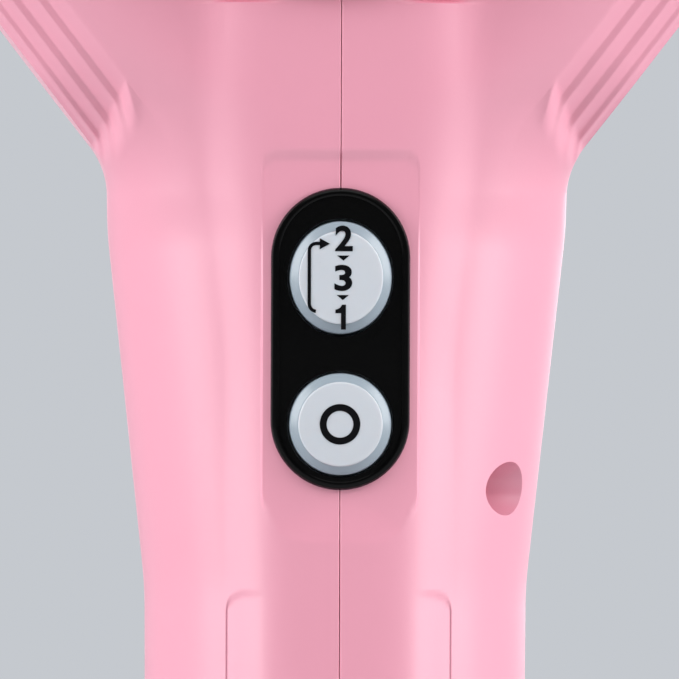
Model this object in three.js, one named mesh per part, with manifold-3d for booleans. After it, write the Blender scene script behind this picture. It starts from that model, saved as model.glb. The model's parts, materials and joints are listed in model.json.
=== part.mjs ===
// A small hair dryer: a two-half casing that is handle, neck and head in one, a barrel plugged into its
// front, two push buttons on the thumb side, and the motor, fan, heater and mains parts inside.
// Millimetres. +Z runs up the handle, air is drawn in at -Y and blown out at +Y, +X is the right half
// as seen from the thumb side. The origin is on the ground under the middle of the dryer's box.

import * as THREE from "three";
import { mergeVertices } from "three/addons/utils/BufferGeometryUtils.js";
import Module from "manifold-3d";

const wasm = await Module();
wasm.setup();

// ---- driving dimensions ------------------------------------------------------------------------

const PANEL_HEIGHT = 94; // middle of the control panel above the handle's end
const HEAD_HEIGHT = 154; // barrel axis above the handle's end
const HEAD_RADIUS = 39.5;
const HANDLE_END_HALF = 18.1; // half-widths of the handle, from its end up to the neck
const HANDLE_GRIP_HALF = 18.5;
const GRIP_TO_PANEL = 24; // how far below the panel's middle the handle starts to widen
const NECK_HALF = 22.25;
const NECK_TO_PANEL = 10.5; // how far above the panel's middle the neck runs straight up
const FLARE_SLOPE = 0.77; // sideways run of the flare for each millimetre up
const FLARE_RISE = 6.07; // straight stretch of neck before the flare
const NECK_FILLET = 8;
const SHOULDER_FILLET = 25;
const SILHOUETTE_Y = -1; // where the handle is widest
const BACK_Y = -20; // thumb side of the casing, without the raised spine
const FRONT_Y = 20; // front face of the casing
const HEAD_EDGE_Y = -12.5; // where the head's back rounds over into its side
const HEAD_FRONT_EDGE_Y = 14;
const HEAD_EDGE_ROUND = 16;
const HEAD_DROP = 1.2; // how much lower than the handle's the head's back is, beside the raised band
const HEAD_FRONT_ROUND = 4;
const SECTION_POWER = 2.2; // 2 would make the handle's section an ellipse
const HANDLE_END_THIN = 0.9; // depth of the handle's end as a share of its depth at the panel
const WALL = 2.2;
const SEAM_GAP = 0.16;
const FIT = 0.3; // clearance between pieces that touch

const SPINE_RISE = 1.0; // raised band up the middle of the thumb side
const SPINE_FLATNESS = 0.5;
const SPINE_SHOULDER = 9;
const CREASE_LOW = 11.3; // where the band runs out, below the panel and at the head
const CREASE_HIGH = 14;
const CREASE_FROM = -5; // heights from the panel's middle between which it widens
const CREASE_TO = 25;
const HEAD_FROM = 8; // heights above the panel's middle between which the handle turns into the head
const HEAD_TO = 26;
const RIB_STARTS = [0.38, 1.3, 3.03, 5.0]; // distances in from the edge where each rib starts to rise
const RIB_ENDS = [0.75, 2.28, 4.25, 6.35];
const RIB_LEVELS = [1.5, 3.2, 5.1, 7.1];
const RIB_FOOT_LEVEL = 0.45; // height of the rounded edge at the outermost rib's foot
const RIB_LEAN = 0.1; // how much each tread rises before the next rib
const RIB_FADE_FROM = 15.6; // height above the panel at which the outermost rib has died out
const RIB_FADE_LENGTH = 3;

const INTAKE_RADIUS = 25.2;
const BARREL_OPENING = 35.3;

const BUTTON_RADIUS = 5;
const BUTTON_CLEARANCE = 0.15;
const SPEED_STRETCH = 1.104; // the speed button is slightly taller than wide
const SPEED_TO_PANEL = 1.18 * BUTTON_RADIUS; // the buttons, from the panel's middle
const OFF_TO_PANEL = -1.64 * BUTTON_RADIUS;
const BUTTON_PROUD = 1.2;
const BUTTON_TRAVEL = 0.8;
const PANEL_HALF_WIDTH = BUTTON_RADIUS + 1.7;
const PANEL_HALF_LENGTH = BUTTON_RADIUS - OFF_TO_PANEL + 1.35;
const PANEL_FACE_Y = -21.3;
const PANEL_BACK_Y = -19.3;
const PANEL_FLANGE = 0.4;
const RECESS_HALF_WIDTH = PANEL_HALF_WIDTH + 0.85;
const RECESS_TOP = PANEL_HALF_LENGTH + 3.05;
const RECESS_BOTTOM = -PANEL_HALF_LENGTH - 4.45;
const RECESS_DEPTH = 0.55;
const RECESS_TOP_ROUND = 1.5;
const RECESS_LOW_ROUND = 5;
const PANEL_SKIN = 0.9; // how far under the recess's floor the panel's seat is
const BOARD_Y = -13.5;
const BOARD_THICK = 1.6;

const CAP_HEIGHT = 6;
const CORD_BORE = 3.4;
const WELL_RADIUS = 2.6;
const WELL_TO_PANEL = OFF_TO_PANEL - BUTTON_RADIUS - 1.2;
const WELL_Y = -12.3;
const LOW_SCREW_HEIGHT = 38;
const WELL_FLOOR_X = 7;
const SCREW_RADIUS = 1.3;
const CLAMP_HEIGHT = 20;
const CLAMP_SCREW_Y = 8;

const BARREL_END = 86;
const BARREL_BACK_RADIUS = 36.5;
const BARREL_FRONT_RADIUS = 33.4;
const FAN_RADIUS = 29.3;
const FAN_CLEARANCE = 0.9;
const FAN_BLADES = 9;
const VANES = 7;
const MOTOR_RADIUS = 12;
const MOTOR_BACK = 4;
const MOTOR_LENGTH = 22;
const SHAFT_RADIUS = 1.15;
const HEATER_BACK = 36;
const HEATER_LENGTH = 42;
const BOARD_REACH = 23;
const COIL_RADIUS = 25;
const COIL_WIRE = 0.6;
const COIL_TURNS = 3;
const COIL_STEPS = 14; // straight stretches in each turn
const MICA_HALF = 0.4;
const SPIGOT_RADIUS = 31.4;
const SPIGOT_LENGTH = 6;
const NOZZLE_LENGTH = 30;
const MOUTH_HALF_WIDTH = 31;
const MOUTH_HALF_HEIGHT = 5.5;
const NOZZLE_WALL = 1.6;
const COVER_RADIUS = 26.6;
const COVER_FACE_Y = -23.8;
const COVER_SKIRT_RADIUS = 24.5;
const COLLAR_RADIUS = 27.6; // raised collar round the air intake
const COLLAR_SLOPE = 2.4;

const PINK = 0xf3a9bd;
const PINK_DARK = 0xe996ae;
const BLACK = 0x101012;
const MILK = 0xd5dae3;
const STEEL = 0x9a9da2;
const BRASS = 0xb59a5a;
const MICA = 0xc9b791;
const BOARD_GREEN = 0x2d6a45;

// ---- solids ------------------------------------------------------------------------------------

/** A closed three.js geometry as a manifold-3d solid. */
function solid(geometry) {
  const bare = geometry.clone();
  bare.deleteAttribute("normal");
  bare.deleteAttribute("uv");
  const merged = mergeVertices(bare, 1e-4);
  return new wasm.Manifold(
    new wasm.Mesh({
      numProp: 3,
      vertProperties: merged.attributes.position.array,
      triVerts: new Uint32Array(merged.index.array),
    }),
  );
}

/** A manifold-3d solid as a three.js geometry. */
function geometryOf(made) {
  const mesh = made.getMesh();
  const geometry = new THREE.BufferGeometry();
  geometry.setAttribute("position", new THREE.BufferAttribute(mesh.vertProperties, 3));
  geometry.setIndex(new THREE.BufferAttribute(mesh.triVerts, 1));
  return geometry;
}

/** Joins the first solid to the rest. */
function join(...solids) {
  return solids.reduce((whole, next) => whole.add(next));
}

/** A named mesh with its own moulded or metal material. */
function piece(name, shape, color, roughness = 0.45, metalness = 0) {
  const geometry = shape.isBufferGeometry ? shape : geometryOf(shape);
  const material = new THREE.MeshStandardMaterial({ color, roughness, metalness });
  const mesh = new THREE.Mesh(geometry, material);
  mesh.name = name;
  return mesh;
}

/** A box between two corners. */
function block(low, high) {
  const size = high.map((v, i) => v - low[i]);
  const geometry = new THREE.BoxGeometry(...size);
  return geometry.translate(...low.map((v, i) => v + size[i] / 2));
}

/** A rod along one axis, from one coordinate to another, centred on the two other coordinates. */
function rod(axis, radius, from, to, centre, sides = 20) {
  const geometry = new THREE.CylinderGeometry(radius, radius, to - from, sides);
  const middle = (from + to) / 2;
  if (axis === "x") {
    return geometry.rotateZ(Math.PI / 2).translate(middle, centre[0], centre[1]);
  }
  if (axis === "y") {
    return geometry.translate(centre[0], middle, centre[1]);
  }
  return geometry.rotateX(Math.PI / 2).translate(centre[0], centre[1], middle);
}

/** A closed [radius, y] profile, or one that starts and ends on the axis, turned about an axis along Y. */
function turned(profile, sides = 40, height = HEAD_HEIGHT) {
  const points = profile.map(([r, y]) => new THREE.Vector2(r, y));
  const onAxis = profile[0][0] === 0;
  if (THREE.ShapeUtils.area(points) < 0) {
    points.reverse();
  }
  if (!onAxis) {
    points.push(points[0].clone());
  }
  return new THREE.LatheGeometry(points, sides).translate(0, 0, height);
}

/** A ring of rectangular section about the barrel axis. */
function ring(outer, inner, from, to, sides = 40) {
  return turned([[outer, from], [outer, to], [inner, to], [inner, from]], sides);
}

/** A flat plate from an outline drawn in x and z, standing between two y values. */
function plate(shape, from, to, curveSegments = 10) {
  const options = { depth: to - from, bevelEnabled: false, curveSegments };
  return new THREE.ExtrudeGeometry(shape, options).rotateX(Math.PI / 2).translate(0, to, 0);
}

/** An upright slot outline: two half circles joined by straight sides. */
function slotOutline(halfWidth, halfLength, height) {
  const straight = halfLength - halfWidth;
  const shape = new THREE.Shape();
  shape.absarc(0, height + straight, halfWidth, 0, Math.PI);
  shape.absarc(0, height - straight, halfWidth, Math.PI, 2 * Math.PI);
  return shape;
}

/** An outline that is round, or stretched along its height. */
function ovalOutline(radius, stretch, height) {
  const shape = new THREE.Shape();
  shape.absellipse(0, height, radius, radius * stretch, 0, 2 * Math.PI);
  return shape;
}

// ---- casing surface ------------------------------------------------------------------------------

const mix = (a, b, t) => a + (b - a) * t;
const smooth = (a, b, v) => THREE.MathUtils.smoothstep(v, a, b);

/** Rise of the casing's rounded section at a share of the way in from its edge. */
function bulge(share) {
  const out = 1 - Math.min(1, Math.max(0, share));
  return (1 - out ** SECTION_POWER) ** (1 / SECTION_POWER);
}

/** Points and inward normals along a chain of corners, each corner rounded by its radius. */
function roundedChain(corners, stepAngle) {
  const points = [];
  let from = new THREE.Vector2(corners[0].x, corners[0].z);
  const straight = (to, step) => {
    const run = to.clone().sub(from);
    const steps = Math.max(1, Math.ceil(run.length() / step));
    const normal = new THREE.Vector2(-run.y, run.x).normalize();
    for (let i = points.length ? 1 : 0; i <= steps; i++) {
      points.push({ p: from.clone().addScaledVector(run, i / steps), n: normal });
    }
  };
  for (let i = 1; i < corners.length; i++) {
    const corner = new THREE.Vector2(corners[i].x, corners[i].z);
    const next = corners[i + 1];
    if (!next) {
      straight(corner, corners[i].step);
      break;
    }
    const into = corner.clone().sub(from).normalize();
    const out = new THREE.Vector2(next.x, next.z).sub(corner).normalize();
    const turn = into.cross(out);
    const angle = Math.asin(turn);
    const reach = corners[i].r * Math.tan(Math.abs(angle) / 2);
    const start = corner.clone().addScaledVector(into, -reach);
    straight(start, corners[i].step);
    const side = new THREE.Vector2(-into.y, into.x).multiplyScalar(Math.sign(turn));
    const centre = start.clone().addScaledVector(side, corners[i].r);
    const steps = Math.max(1, Math.ceil(Math.abs(angle) / stepAngle));
    for (let k = 1; k <= steps; k++) {
      const spoke = start.clone().sub(centre).rotateAround(new THREE.Vector2(), (angle * k) / steps);
      const normal = spoke.clone().normalize().multiplyScalar(-Math.sign(turn));
      points.push({ p: centre.clone().add(spoke), n: normal });
    }
    from = points.at(-1).p;
  }
  return points;
}

/** The right half of the casing's outline as seen from behind, from the handle's end to the crown. */
function casingOutline(startHeight) {
  const flareStart = NECK_TO_PANEL + FLARE_RISE;
  const flareTop = flareStart + (HEAD_RADIUS - NECK_HALF) / FLARE_SLOPE;
  const corners = [
    { x: HANDLE_END_HALF, z: startHeight, r: 0 },
    { x: HANDLE_GRIP_HALF, z: PANEL_HEIGHT - GRIP_TO_PANEL, r: 40, step: 22 },
    { x: NECK_HALF, z: PANEL_HEIGHT + NECK_TO_PANEL, r: 40, step: 12 },
    { x: NECK_HALF, z: PANEL_HEIGHT + flareStart, r: NECK_FILLET, step: 5 },
    { x: HEAD_RADIUS, z: PANEL_HEIGHT + flareTop, r: SHOULDER_FILLET, step: 4.6 },
    { x: HEAD_RADIUS, z: HEAD_HEIGHT, r: 0, step: HEAD_RADIUS / 7 },
  ];
  const points = roundedChain(corners, Math.PI / 19);
  const crownSteps = 8;
  for (let k = 1; k <= crownSteps; k++) {
    const angle = ((Math.PI / 2) * k) / crownSteps;
    const n = new THREE.Vector2(-Math.cos(angle), -Math.sin(angle));
    points.push({ p: new THREE.Vector2(0, HEAD_HEIGHT).addScaledVector(n, -HEAD_RADIUS), n });
  }
  return points.map((row) => ({ ...row, head: smooth(HEAD_FROM, HEAD_TO, row.p.y - PANEL_HEIGHT) }));
}

/** Where each row ends inwards: on the middle plane, or on a round opening about the barrel axis. */
function innerEnds(anchors, opening) {
  const inRing = (a) => a.y >= HEAD_HEIGHT - opening;
  const angleOf = (a) => Math.atan2(a.y - HEAD_HEIGHT, a.x);
  const first = angleOf(anchors.find(inRing));
  return anchors.map((a) => {
    if (!inRing(a)) {
      return new THREE.Vector2(0, a.y);
    }
    const angle = angleOf(a);
    const turnedTo = angle < 0 ? ((-Math.PI / 2) * angle) / first : angle;
    return new THREE.Vector2(Math.cos(turnedTo), Math.sin(turnedTo))
      .multiplyScalar(opening)
      .add(new THREE.Vector2(0, HEAD_HEIGHT));
  });
}

/** Height of the stepped ribs at a distance in from the casing's edge. */
function ribHeight(inwards) {
  const marks = [[0, 0]];
  RIB_STARTS.forEach((start, i) => {
    const below = i ? RIB_LEVELS[i - 1] : RIB_FOOT_LEVEL;
    marks.push([start, below + RIB_LEAN], [RIB_ENDS[i], RIB_LEVELS[i]]);
  });
  const k = marks.findIndex(([d]) => d >= inwards);
  if (k < 1) {
    return k ? marks.at(-1)[1] : 0;
  }
  const [d0, h0] = marks[k - 1];
  const [d1, h1] = marks[k];
  return mix(h0, h1, (inwards - d0) / (d1 - d0));
}

/** How thick front to back the casing is at a height, as a share of its depth at the panel. */
function depthShare(height) {
  return mix(HANDLE_END_THIN, 1, smooth(0, PANEL_HEIGHT - 30, height));
}

/** The thumb side's y at a point: plain rounded section, with ribs and raised spine if dressed. */
function backY(row, at, inwards, wall, dressed) {
  const half = row.head < 1 ? row.p.x : HEAD_RADIUS;
  const round = mix(half, HEAD_EDGE_ROUND, row.head) - wall;
  const edge = mix(SILHOUETTE_Y, HEAD_EDGE_Y, row.head);
  const drop = HEAD_DROP * row.head;
  const depth = edge - BACK_Y - drop - wall;
  let rise = depth * bulge(inwards / round);
  if (dressed) {
    const band = RIB_ENDS.at(-1);
    const above = at.y - PANEL_HEIGHT;
    const fade = RIB_FADE_FROM + inwards;
    const strength = inwards < band ? smooth(fade, fade + RIB_FADE_LENGTH, above) : 0;
    const full = depth * bulge(band / round);
    rise = mix(rise, (full * ribHeight(inwards)) / RIB_LEVELS.at(-1), strength);
    const creaseAt = mix(CREASE_LOW, CREASE_HIGH, smooth(CREASE_FROM, CREASE_TO, above));
    const onSpine = 1 - smooth(SPINE_SHOULDER, creaseAt, at.x);
    const fromAxis = Math.hypot(at.x, at.y - HEAD_HEIGHT);
    const onCollar = 1 - smooth(COLLAR_RADIUS, COLLAR_RADIUS + COLLAR_SLOPE, fromAxis);
    const belowHead = at.y < HEAD_HEIGHT - COLLAR_RADIUS ? onSpine : 0;
    const flatter = SPINE_FLATNESS * Math.max(0, depth - rise) * (1 - row.head);
    rise += Math.max(belowHead, onCollar) * (SPINE_RISE + drop + flatter);
  }
  return (edge - rise) * (row.head > 0 ? 1 : depthShare(at.y));
}

/** One wall of the right half as rows of points: the outer face, or the inner face for a wall. */
function casingRows(outline, wall, dressed) {
  const edges = outline.map((row) => row.p.clone().addScaledVector(row.n, wall));
  const band = RIB_ENDS.at(-1);
  const anchors = outline.map((row, i) => edges[i].clone().addScaledVector(row.n, band));
  const backEnds = innerEnds(anchors, INTAKE_RADIUS);
  const frontEnds = innerEnds(edges, BARREL_OPENING);
  const shares = [0, 0.3, 0.58, 0.78];
  const insets = [band, 5.0, 4.25, 3.03, 2.28, 1.3, 0.75, 0];
  return outline.map((row, i) => {
    const last = i === outline.length - 1;
    const points = [];
    const add = (p, y) => points.push([last ? SEAM_GAP / 2 : Math.max(SEAM_GAP / 2, p.x), y, p.y]);
    const span = anchors[i].distanceTo(backEnds[i]);
    for (const share of shares) {
      const at = backEnds[i].clone().lerp(anchors[i], share);
      add(at, backY(row, at, band + span * (1 - share), wall, dressed));
    }
    for (const inset of insets) {
      const at = edges[i].clone().addScaledVector(row.n, inset);
      add(at, backY(row, at, inset, wall, dressed));
    }
    const edgeFront = mix(SILHOUETTE_Y + 2, HEAD_FRONT_EDGE_Y, row.head);
    const round = mix(row.p.x, HEAD_FRONT_ROUND, row.head) - wall * (1 - row.head / 2);
    const reach = edges[i].distanceTo(frontEnds[i]);
    const thin = row.head > 0 ? 1 : depthShare(row.p.y);
    for (const share of [0, 0.05, 0.2, 0.5, 1]) {
      const at = edges[i].clone().lerp(frontEnds[i], share);
      const rise = (FRONT_Y - edgeFront - wall) * bulge((reach * share) / round);
      add(at, (edgeFront + rise) * thin);
    }
    return points;
  });
}

/** The right half's wall: outer face, inner face and the strip that joins them all the way round. */
function rightHalfSolid() {
  const outline = casingOutline(CAP_HEIGHT + FIT);
  const outer = casingRows(outline, 0, true);
  const inner = casingRows(outline, WALL, false);
  const rows = outer.length;
  const columns = outer[0].length;
  const positions = [...outer.flat(), ...inner.flat()].flat();
  const at = (side, i, j) => side * rows * columns + i * columns + j;
  const index = [];
  const quad = (a, b, c, d) => index.push(a, b, c, a, c, d);
  for (let i = 0; i < rows - 1; i++) {
    for (let j = 0; j < columns - 1; j++) {
      quad(at(0, i, j), at(0, i, j + 1), at(0, i + 1, j + 1), at(0, i + 1, j));
      quad(at(1, i, j), at(1, i + 1, j), at(1, i + 1, j + 1), at(1, i, j + 1));
    }
    quad(at(0, i, 0), at(0, i + 1, 0), at(1, i + 1, 0), at(1, i, 0));
    const j = columns - 1;
    quad(at(0, i + 1, j), at(0, i, j), at(1, i, j), at(1, i + 1, j));
  }
  for (let j = 0; j < columns - 1; j++) {
    const i = rows - 1;
    quad(at(0, 0, j + 1), at(0, 0, j), at(1, 0, j), at(1, 0, j + 1));
    quad(at(0, i, j), at(0, i, j + 1), at(1, i, j + 1), at(1, i, j));
  }
  const geometry = new THREE.BufferGeometry();
  geometry.setAttribute("position", new THREE.Float32BufferAttribute(positions, 3));
  geometry.setIndex(index);
  return solid(geometry);
}

/** The handle's whole section at a height, in x and y, drawn in by an inset, plain or with its spine. */
function handleSection(height, inset, dressed) {
  const outline = casingOutline(CAP_HEIGHT + FIT);
  const above = outline.findIndex((row) => row.p.y > height);
  const points = casingRows(outline, inset, dressed)[Math.max(0, above - 1)];
  const right = points.map(([x, y]) => new THREE.Vector2(x, y));
  right[0].x = 0;
  right.at(-1).x = 0;
  const left = right.slice(1, -1).map((v) => new THREE.Vector2(-v.x, v.y)).reverse();
  return new THREE.Shape([...right, ...left]);
}

/** An upright prism with the handle's section. */
function handlePrism(height, inset, from, to, dressed = false) {
  const options = { depth: to - from, bevelEnabled: false };
  return new THREE.ExtrudeGeometry(handleSection(height, inset, dressed), options).translate(0, 0, from);
}

// ---- casing halves -------------------------------------------------------------------------------

/** A solid turned over onto the other side of the middle plane. */
function mirrored(made) {
  const geometry = geometryOf(made).toNonIndexed();
  geometry.scale(-1, 1, 1);
  const p = geometry.attributes.position;
  for (let i = 0; i < p.count; i += 3) {
    const second = new THREE.Vector3().fromBufferAttribute(p, i + 1);
    const third = new THREE.Vector3().fromBufferAttribute(p, i + 2);
    p.setXYZ(i + 1, ...third);
    p.setXYZ(i + 2, ...second);
  }
  return solid(geometry);
}

const WELLS = [
  { height: PANEL_HEIGHT + WELL_TO_PANEL, y: WELL_Y },
  { height: LOW_SCREW_HEIGHT, y: SILHOUETTE_Y },
];
const CLAMP_POSTS = [-CLAMP_SCREW_Y, CLAMP_SCREW_Y];
const BOSS_WALL = 1.3;
const WELL_FLOOR = 1.8;
const POST_RADIUS = 3;
const CLAMP_SEAT_X = 3.4;

/** The pocket in the thumb side that the control panel sits in, and the opening behind it. */
function panelPockets() {
  const high = PANEL_HEIGHT + RECESS_TOP - RECESS_TOP_ROUND;
  const foot = PANEL_HEIGHT + RECESS_BOTTOM + RECESS_LOW_ROUND;
  const highX = RECESS_HALF_WIDTH - RECESS_TOP_ROUND;
  const footX = RECESS_HALF_WIDTH - RECESS_LOW_ROUND;
  const outline = new THREE.Shape();
  outline.absarc(highX, high, RECESS_TOP_ROUND, 0, Math.PI / 2);
  outline.absarc(-highX, high, RECESS_TOP_ROUND, Math.PI / 2, Math.PI);
  outline.absarc(-footX, foot, RECESS_LOW_ROUND, Math.PI, 1.5 * Math.PI);
  outline.absarc(footX, foot, RECESS_LOW_ROUND, 1.5 * Math.PI, 2 * Math.PI);
  const outside = BACK_Y - 5;
  const pocket = plate(outline, outside, BACK_Y - RECESS_DEPTH + PANEL_SKIN, 4);
  const halfWidth = PANEL_HALF_WIDTH - PANEL_FLANGE;
  const opening = slotOutline(halfWidth, PANEL_HALF_LENGTH - PANEL_FLANGE, PANEL_HEIGHT);
  return [solid(pocket), solid(plate(opening, outside, BACK_Y + 4 * WALL, 8))];
}

/** The right half: the wall, the screw wells that run in from its flank, and the panel opening. */
function rightShell() {
  let shell = rightHalfSolid();
  for (const well of WELLS) {
    const { height, y } = well;
    const reach = WELL_RADIUS + BOSS_WALL;
    const tube = solid(rod("x", reach, WELL_FLOOR_X - WELL_FLOOR, 30, [y, height], 16));
    const limit = solid(handlePrism(height - reach, FIT, height - reach - 1, height + reach + 1));
    shell = shell.add(tube.intersect(limit));
    shell = shell.subtract(solid(rod("x", WELL_RADIUS, WELL_FLOOR_X, 40, [y, height], 16)));
    shell = shell.subtract(solid(rod("x", SCREW_RADIUS + 0.35, -1, 20, [y, height], 12)));
  }
  return panelPockets().reduce((made, pocket) => made.subtract(pocket), shell);
}

/** A post and its pilot hole, standing on the left half's inner wall. */
function leftPost(radius, y, height, top) {
  const post = solid(rod("x", radius, -30, top, [y, height], 16));
  const limit = solid(handlePrism(height - radius, FIT, height - radius - 1, height + radius + 1));
  const hole = solid(rod("x", SCREW_RADIUS + 0.05, -6, top + 1, [y, height], 12));
  return { post: post.intersect(limit), hole };
}

/** The left half: the wall, the posts that take the screws, and the panel opening. */
function leftShell() {
  let shell = mirrored(rightHalfSolid());
  const posts = [
    ...WELLS.map(({ height, y }) => leftPost(WELL_RADIUS, y, height, WELL_FLOOR_X - WELL_FLOOR - FIT)),
    ...CLAMP_POSTS.map((y) => leftPost(POST_RADIUS, y, CLAMP_HEIGHT, CLAMP_SEAT_X - FIT)),
  ];
  for (const { post, hole } of posts) {
    shell = shell.add(post).subtract(hole);
  }
  return panelPockets().reduce((made, pocket) => made.subtract(pocket), shell);
}

/** A pan-head screw along X, its head's seat at a given x, pointing at the left half. */
function screw(seatX, length, y, height, headRadius) {
  const head = solid(rod("x", headRadius, seatX, seatX + 1.6, [y, height], 16));
  const shank = solid(rod("x", SCREW_RADIUS, seatX - length, seatX + 0.5, [y, height], 12));
  const low = [seatX + 1, y - headRadius, height - 0.3];
  const slot = block(low, [seatX + 2, y + headRadius, height + 0.3]);
  return join(head, shank).subtract(solid(slot));
}

/** Casing halves and the screws that close them. */
function casing() {
  const group = new THREE.Group();
  group.add(piece("left_shell", leftShell(), PINK, 0.35), piece("right_shell", rightShell(), PINK, 0.35));
  const names = ["casing_screw_upper", "casing_screw_lower"];
  WELLS.forEach(({ height, y }, i) => {
    const made = screw(WELL_FLOOR_X + FIT, 11, y, height, WELL_RADIUS - 0.25);
    group.add(piece(names[i], made, STEEL, 0.3, 1));
  });
  return group;
}

// ---- handle end and mains parts --------------------------------------------------------------------

const MAINS_BOARD_Y = 3.4;
const MAINS_BOARD_LOW = 45;
const GLAND_RADIUS = 5.3;

/** A [radius, z] profile turned about the handle's own axis. */
function turnedUpright(profile, sides) {
  return turned(profile, sides, 0).rotateX(Math.PI / 2);
}

/** The cap that closes the handle's end, with the hole for the cord gland. */
function endCap() {
  const rim = solid(handlePrism(0, 0, 0, CAP_HEIGHT, true));
  const plug = solid(handlePrism(0, WALL + FIT, CAP_HEIGHT - 1, CAP_HEIGHT + 3));
  return join(rim, plug).subtract(solid(rod("z", GLAND_RADIUS + FIT, -1, 20, [0, 0], 24)));
}

/** The bush that the cord enters through, flanged above the cap. */
function cordGland() {
  const seat = CAP_HEIGHT + 3 + FIT;
  const profile = [
    [CORD_BORE, 0.5], [GLAND_RADIUS, 0.5], [GLAND_RADIUS, seat], [GLAND_RADIUS + 2, seat],
    [GLAND_RADIUS + 2, seat + 1.5], [CORD_BORE, seat + 1.5],
  ];
  return turnedUpright(profile, 24);
}

/** The bar that grips the cord against the left half's posts. */
function cordClamp() {
  const reach = CLAMP_SCREW_Y + POST_RADIUS;
  const low = [CLAMP_SEAT_X, -reach, CLAMP_HEIGHT - 3.5];
  const high = [CLAMP_SEAT_X + 2.2, reach, CLAMP_HEIGHT + 3.5];
  return CLAMP_POSTS.reduce((bar, y) => {
    const hole = rod("x", SCREW_RADIUS + 0.3, 0, 20, [y, CLAMP_HEIGHT], 12);
    return bar.subtract(solid(hole));
  }, solid(block(low, high)));
}

/** The small board in the grip with the mains terminals and the suppression capacitor. */
function mainsParts() {
  const front = MAINS_BOARD_Y + BOARD_THICK;
  const low = MAINS_BOARD_LOW;
  const board = block([-9, MAINS_BOARD_Y, low], [9, front, low + 30]);
  const towers = [-4, 4].map((x) => solid(rod("y", 2.4, front + 5, front + 8, [x, low + 6], 12)));
  const terminal = join(solid(block([-8, front + FIT, low + 1], [8, front + 6, low + 11])), ...towers);
  const capacitor = block([-7.5, front + FIT, low + 15], [7.5, front + 7.5, low + 28]);
  return [
    piece("mains_board", board, BOARD_GREEN, 0.5),
    piece("terminal_block", terminal, 0xe9e6da, 0.5),
    piece("suppression_capacitor", capacitor, 0xd8b23a, 0.4),
  ];
}

/** Cap, gland, clamp with its screws, and the mains parts. */
function handleEnd() {
  const group = new THREE.Group();
  group.add(piece("end_cap", endCap(), PINK_DARK, 0.4));
  group.add(piece("cord_gland", cordGland(), BLACK, 0.7));
  group.add(piece("cord_clamp", cordClamp(), 0xe8e8e4, 0.5));
  ["clamp_screw_back", "clamp_screw_front"].forEach((name, i) => {
    const seat = CLAMP_SEAT_X + 2.2 + FIT;
    group.add(piece(name, screw(seat, 9, CLAMP_POSTS[i], CLAMP_HEIGHT, 2.4), STEEL, 0.3, 1));
  });
  group.add(...mainsParts());
  return group;
}

// ---- control panel -----------------------------------------------------------------------------------

const SPEED_HEIGHT = PANEL_HEIGHT + SPEED_TO_PANEL;
const OFF_HEIGHT = PANEL_HEIGHT + OFF_TO_PANEL;
const OFF_SWITCH_HEIGHT = OFF_HEIGHT + 1.4; // clear of the screw well below it
const BUTTON_FLANGE = 0.8;
const FLANGE_REACH = 0.8;
const PLATEAU_INSET = 0.85; // width of the sloping rim round the button's plateau
const RIM_DROP = 0.3;
const STEM_RADIUS = 2.4;
const STEM_BACK_Y = PANEL_BACK_Y + 0.2 + BUTTON_FLANGE + 0.4;
const SWITCH_HALF = 3.1;
const SWITCH_FACE_Y = -16.6;
const PLUNGER_RADIUS = 1.2;
const SWITCH_FLOOR = 0.8; // thickness under the plunger's blind hole

/** The black panel: a flange over the opening's edge, a plug through it, and two button holes. */
function controlBezel() {
  const seat = BACK_Y - RECESS_DEPTH + PANEL_SKIN - FIT;
  const flange = plate(slotOutline(PANEL_HALF_WIDTH, PANEL_HALF_LENGTH, PANEL_HEIGHT), PANEL_FACE_Y, seat);
  const inset = PANEL_FLANGE + FIT;
  const plugOutline = slotOutline(PANEL_HALF_WIDTH - inset, PANEL_HALF_LENGTH - inset, PANEL_HEIGHT);
  const plug = plate(plugOutline, seat - 0.5, PANEL_BACK_Y);
  const hole = BUTTON_RADIUS + BUTTON_CLEARANCE;
  const cut = (stretch, height) => solid(plate(ovalOutline(hole, stretch, height), -30, 0));
  return join(solid(flange), solid(plug))
    .subtract(cut(SPEED_STRETCH, SPEED_HEIGHT))
    .subtract(cut(1, OFF_HEIGHT));
}

/** A push button: a low plateau in a sloping rim, a flange behind the panel and a short stem. */
function pushButton(stretch, height) {
  const face = PANEL_FACE_Y - BUTTON_PROUD;
  const flangeY = PANEL_BACK_Y + 0.2;
  const flange = BUTTON_RADIUS + FLANGE_REACH;
  const profile = [
    [0, face], [BUTTON_RADIUS - PLATEAU_INSET - 0.25, face + 0.05],
    [BUTTON_RADIUS - PLATEAU_INSET, face + RIM_DROP],
    [BUTTON_RADIUS - 0.05, face + BUTTON_PROUD - 0.1], [BUTTON_RADIUS, flangeY], [flange, flangeY],
    [flange, flangeY + BUTTON_FLANGE], [STEM_RADIUS, flangeY + BUTTON_FLANGE],
    [STEM_RADIUS, STEM_BACK_Y], [0, STEM_BACK_Y],
  ];
  return turned(profile, 24, 0).scale(1, 1, stretch).translate(0, 0, height);
}

/** A switch body on the board, with the blind hole that its plunger slides in. */
function switchBody(height) {
  const low = [-SWITCH_HALF, SWITCH_FACE_Y, height - SWITCH_HALF];
  const body = block(low, [SWITCH_HALF, BOARD_Y - FIT, height + SWITCH_HALF]);
  const hole = rod("y", PLUNGER_RADIUS + 0.2, -20, BOARD_Y - SWITCH_FLOOR, [0, height], 12);
  return solid(body).subtract(solid(hole));
}

/** The plunger of a switch, touching the button's stem but for a hair. */
function plunger(height) {
  const end = BOARD_Y - SWITCH_FLOOR - BUTTON_TRAVEL - 0.2;
  return rod("y", PLUNGER_RADIUS, STEM_BACK_Y + 0.1, end, [0, height], 12);
}

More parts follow.
